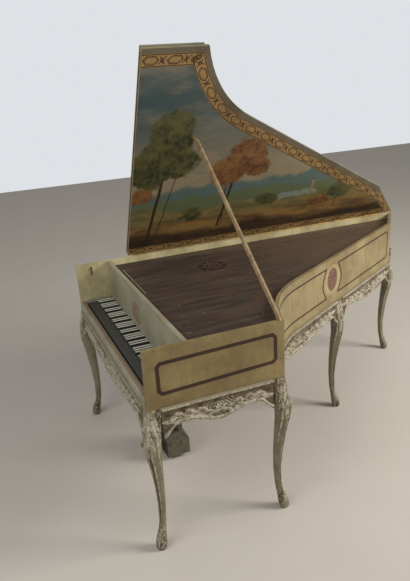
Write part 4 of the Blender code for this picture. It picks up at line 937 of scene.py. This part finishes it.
groove_finish = worn_paint("leg_groove", (96, 70, 46), (66, 46, 28), (150, 142, 120), (1, 1, 0.2))
HEAD = 0.030
bent_way = Vector((-math.cos(BEND_START), math.sin(BEND_START)))
legs = (
    ("front_bass_leg", Vector((HEAD, HEAD)), Vector((-1, -1)).normalized()),
    ("front_treble_leg", Vector((WIDTH - HEAD, HEAD)), Vector((1, -1)).normalized()),
    ("cheek_rear_leg", Vector((WIDTH, CHEEK)) + (bent_way - Vector((0, 1))) * HEAD,
     (Vector((0, 1)) - bent_way).normalized()),
    ("bentside_leg", TAIL + ALONG * 0.772 - OUT * HEAD, OUT.copy()),
    ("tail_leg", SPINE_END + TAIL_WAY * (TAIL - SPINE_END).length / 2 - TAIL_OUT * HEAD, TAIL_OUT.copy()),
)
for name, centre, out in legs:
    surface = leg_surface(name, centre, out)
    bm = bmesh.new()
    down = -math.pi / 2
    for way in (-1, 1):
        leaf(bm, surface, (way * 0.010, 0.700), down + way * 0.12, 0.110, 0.022, way * 0.3, 0.006, 4, 16)
        leaf(bm, surface, (way * 0.024, 0.690), down + way * 0.10, 0.085, 0.018, way * 0.5, 0.005, 3, 12)
        leaf(bm, surface, (way * 0.008, 0.610), down + way * 0.20, 0.100, 0.018, -way * 0.3, 0.005, 4, 14)
        leaf(bm, surface, (way * 0.006, 0.085), down + way * 0.25, 0.055, 0.013, 0.0, 0.003, 2, 8)
    leaf(bm, surface, (0.0, 0.690), down, 0.190, 0.018, 0.0, 0.007, 6, 24)
    for way in (-1, 1):
        leaf(bm, surface, (way * 0.010, 0.560), down, 0.440, 0.009, 0.0, 0.0045, 1, 40)
        leaf(bm, surface, (way * 0.030, 0.640), down + way * 0.04, 0.280, 0.010, 0.0, 0.0035, 1, 28)
    leaf(bm, surface, (0.0, 0.100), down, 0.085, 0.020, 0.0, 0.004, 2, 12)
    solid(name + "_carving", bm, gesso, "case", 60)
    bm = bmesh.new()
    leaf(bm, surface, (0.0, 0.520), down, 0.400, 0.011, 0.0, 0.0012, 1, 36)
    solid(name + "_groove", bm, groove_finish, "case", 60)

# Pedals: black lyre board; the box is black on its front face and rubbed to olive-grey on
# its top and sides.

lacquer = Finish("black_lacquer", 0.38)
rub = lacquer.noise(45.0, 7.0)
lacquer.done(lacquer.mix(lacquer.step(rub, 0.55, 0.72), (34, 31, 28), (78, 72, 56)), rub, 0.0005, 0.4)
dress(lacquer, "lyre_panel")
rubbed = Finish("rubbed_lacquer", 0.5)
rub = rubbed.noise(45.0, 7.0)
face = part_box("pedal_box")[0].y
tone = rubbed.mix(rubbed.step(rub, 0.42, 0.70), (100, 97, 77), (72, 68, 52))
tone = rubbed.mix(rubbed.step(rubbed.parts()[1], face + 0.0015, face + 0.0035), (38, 35, 31), tone)
rubbed.done(tone, rub, 0.0005, 0.4)
dress(rubbed, "pedal_box")

# Studio: plain pale floor, one large soft light from the right, a weak one from the left.

floor_finish = Finish("studio_floor", 0.8)
floor_finish.done(floor_finish.mix(floor_finish.noise(3.0), (206, 198, 186), (214, 207, 196)),
                  floor_finish.noise(60.0), 0.0003, 0.2)
bm = bmesh.new()
bmesh.ops.create_grid(bm, x_segments=2, y_segments=2, size=9.0)
mesh = bpy.data.meshes.new("floor")
bm.to_mesh(mesh)
bm.free()
mesh.materials.append(floor_finish.material)
floor = bpy.data.objects.new("floor", mesh)
SCENE.collection.objects.link(floor)

world = bpy.data.worlds.new("studio")
SCENE.world = world
world.use_nodes = True
tree = world.node_tree
background = tree.nodes["Background"]
rays = tree.nodes.new("ShaderNodeLightPath")
blend = tree.nodes.new("ShaderNodeMix")
blend.data_type = "RGBA"
colours = [socket for socket in blend.inputs if socket.type == "RGBA"]
colours[0].default_value = (0.30, 0.30, 0.30, 1.0)
colours[1].default_value = shade((222, 226, 230))
tree.links.new(rays.outputs["Is Camera Ray"], blend.inputs["Factor"])
tree.links.new(next(s for s in blend.outputs if s.type == "RGBA"), background.inputs["Color"])
background.inputs["Strength"].default_value = 1.0


def lamp(name, place, target, size, power, colour):
    data = bpy.data.lights.new(name, "AREA")
    data.shape = "DISK"
    data.size = size
    data.energy = power
    data.color = colour
    light = bpy.data.objects.new(name, data)
    light.location = place
    light.rotation_euler = (Vector(target) - Vector(place)).to_track_quat("-Z", "Y").to_euler()
    SCENE.collection.objects.link(light)


lamp("window_light", (2.4, 4.0, 3.3), (0.0, 0.3, 0.8), 2.4, 250.0, (1.0, 0.97, 0.92))
lamp("room_light", (1.6, -3.4, 3.2), (0.0, -0.3, 0.8), 3.0, 55.0, (0.94, 0.97, 1.0))

# Camera at the photograph's viewpoint, standing at the right front corner.

heading, tilt, roll = math.radians(158.3103), math.radians(-19.7684), -0.0564
forward = Vector((math.cos(tilt) * math.cos(heading), math.cos(tilt) * math.sin(heading), math.sin(tilt)))
level = forward.cross(Vector((0, 0, 1))).normalized()
upward = level.cross(forward)
right = level * math.cos(roll) + upward * math.sin(roll)
top = upward * math.cos(roll) - level * math.sin(roll)
data = bpy.data.cameras.new("camera")
data.sensor_fit = "VERTICAL"
data.sensor_height = 36.0
data.lens = 36.0 * 609.5214 / 581
data.shift_x = (205.0 - 203.58) / 581
data.shift_y = (281.34 - 290.5) / 581
camera = bpy.data.objects.new("camera", data)
camera.matrix_world = Matrix((
    (right.x, top.x, -forward.x, CORNER.x + 3.4491),
    (right.y, top.y, -forward.y, CORNER.y - 0.5695),
    (right.z, top.z, -forward.z, 2.0819),
    (0, 0, 0, 1),
))
SCENE.collection.objects.link(camera)
SCENE.camera = camera
SCENE.view_settings.view_transform = "Standard"
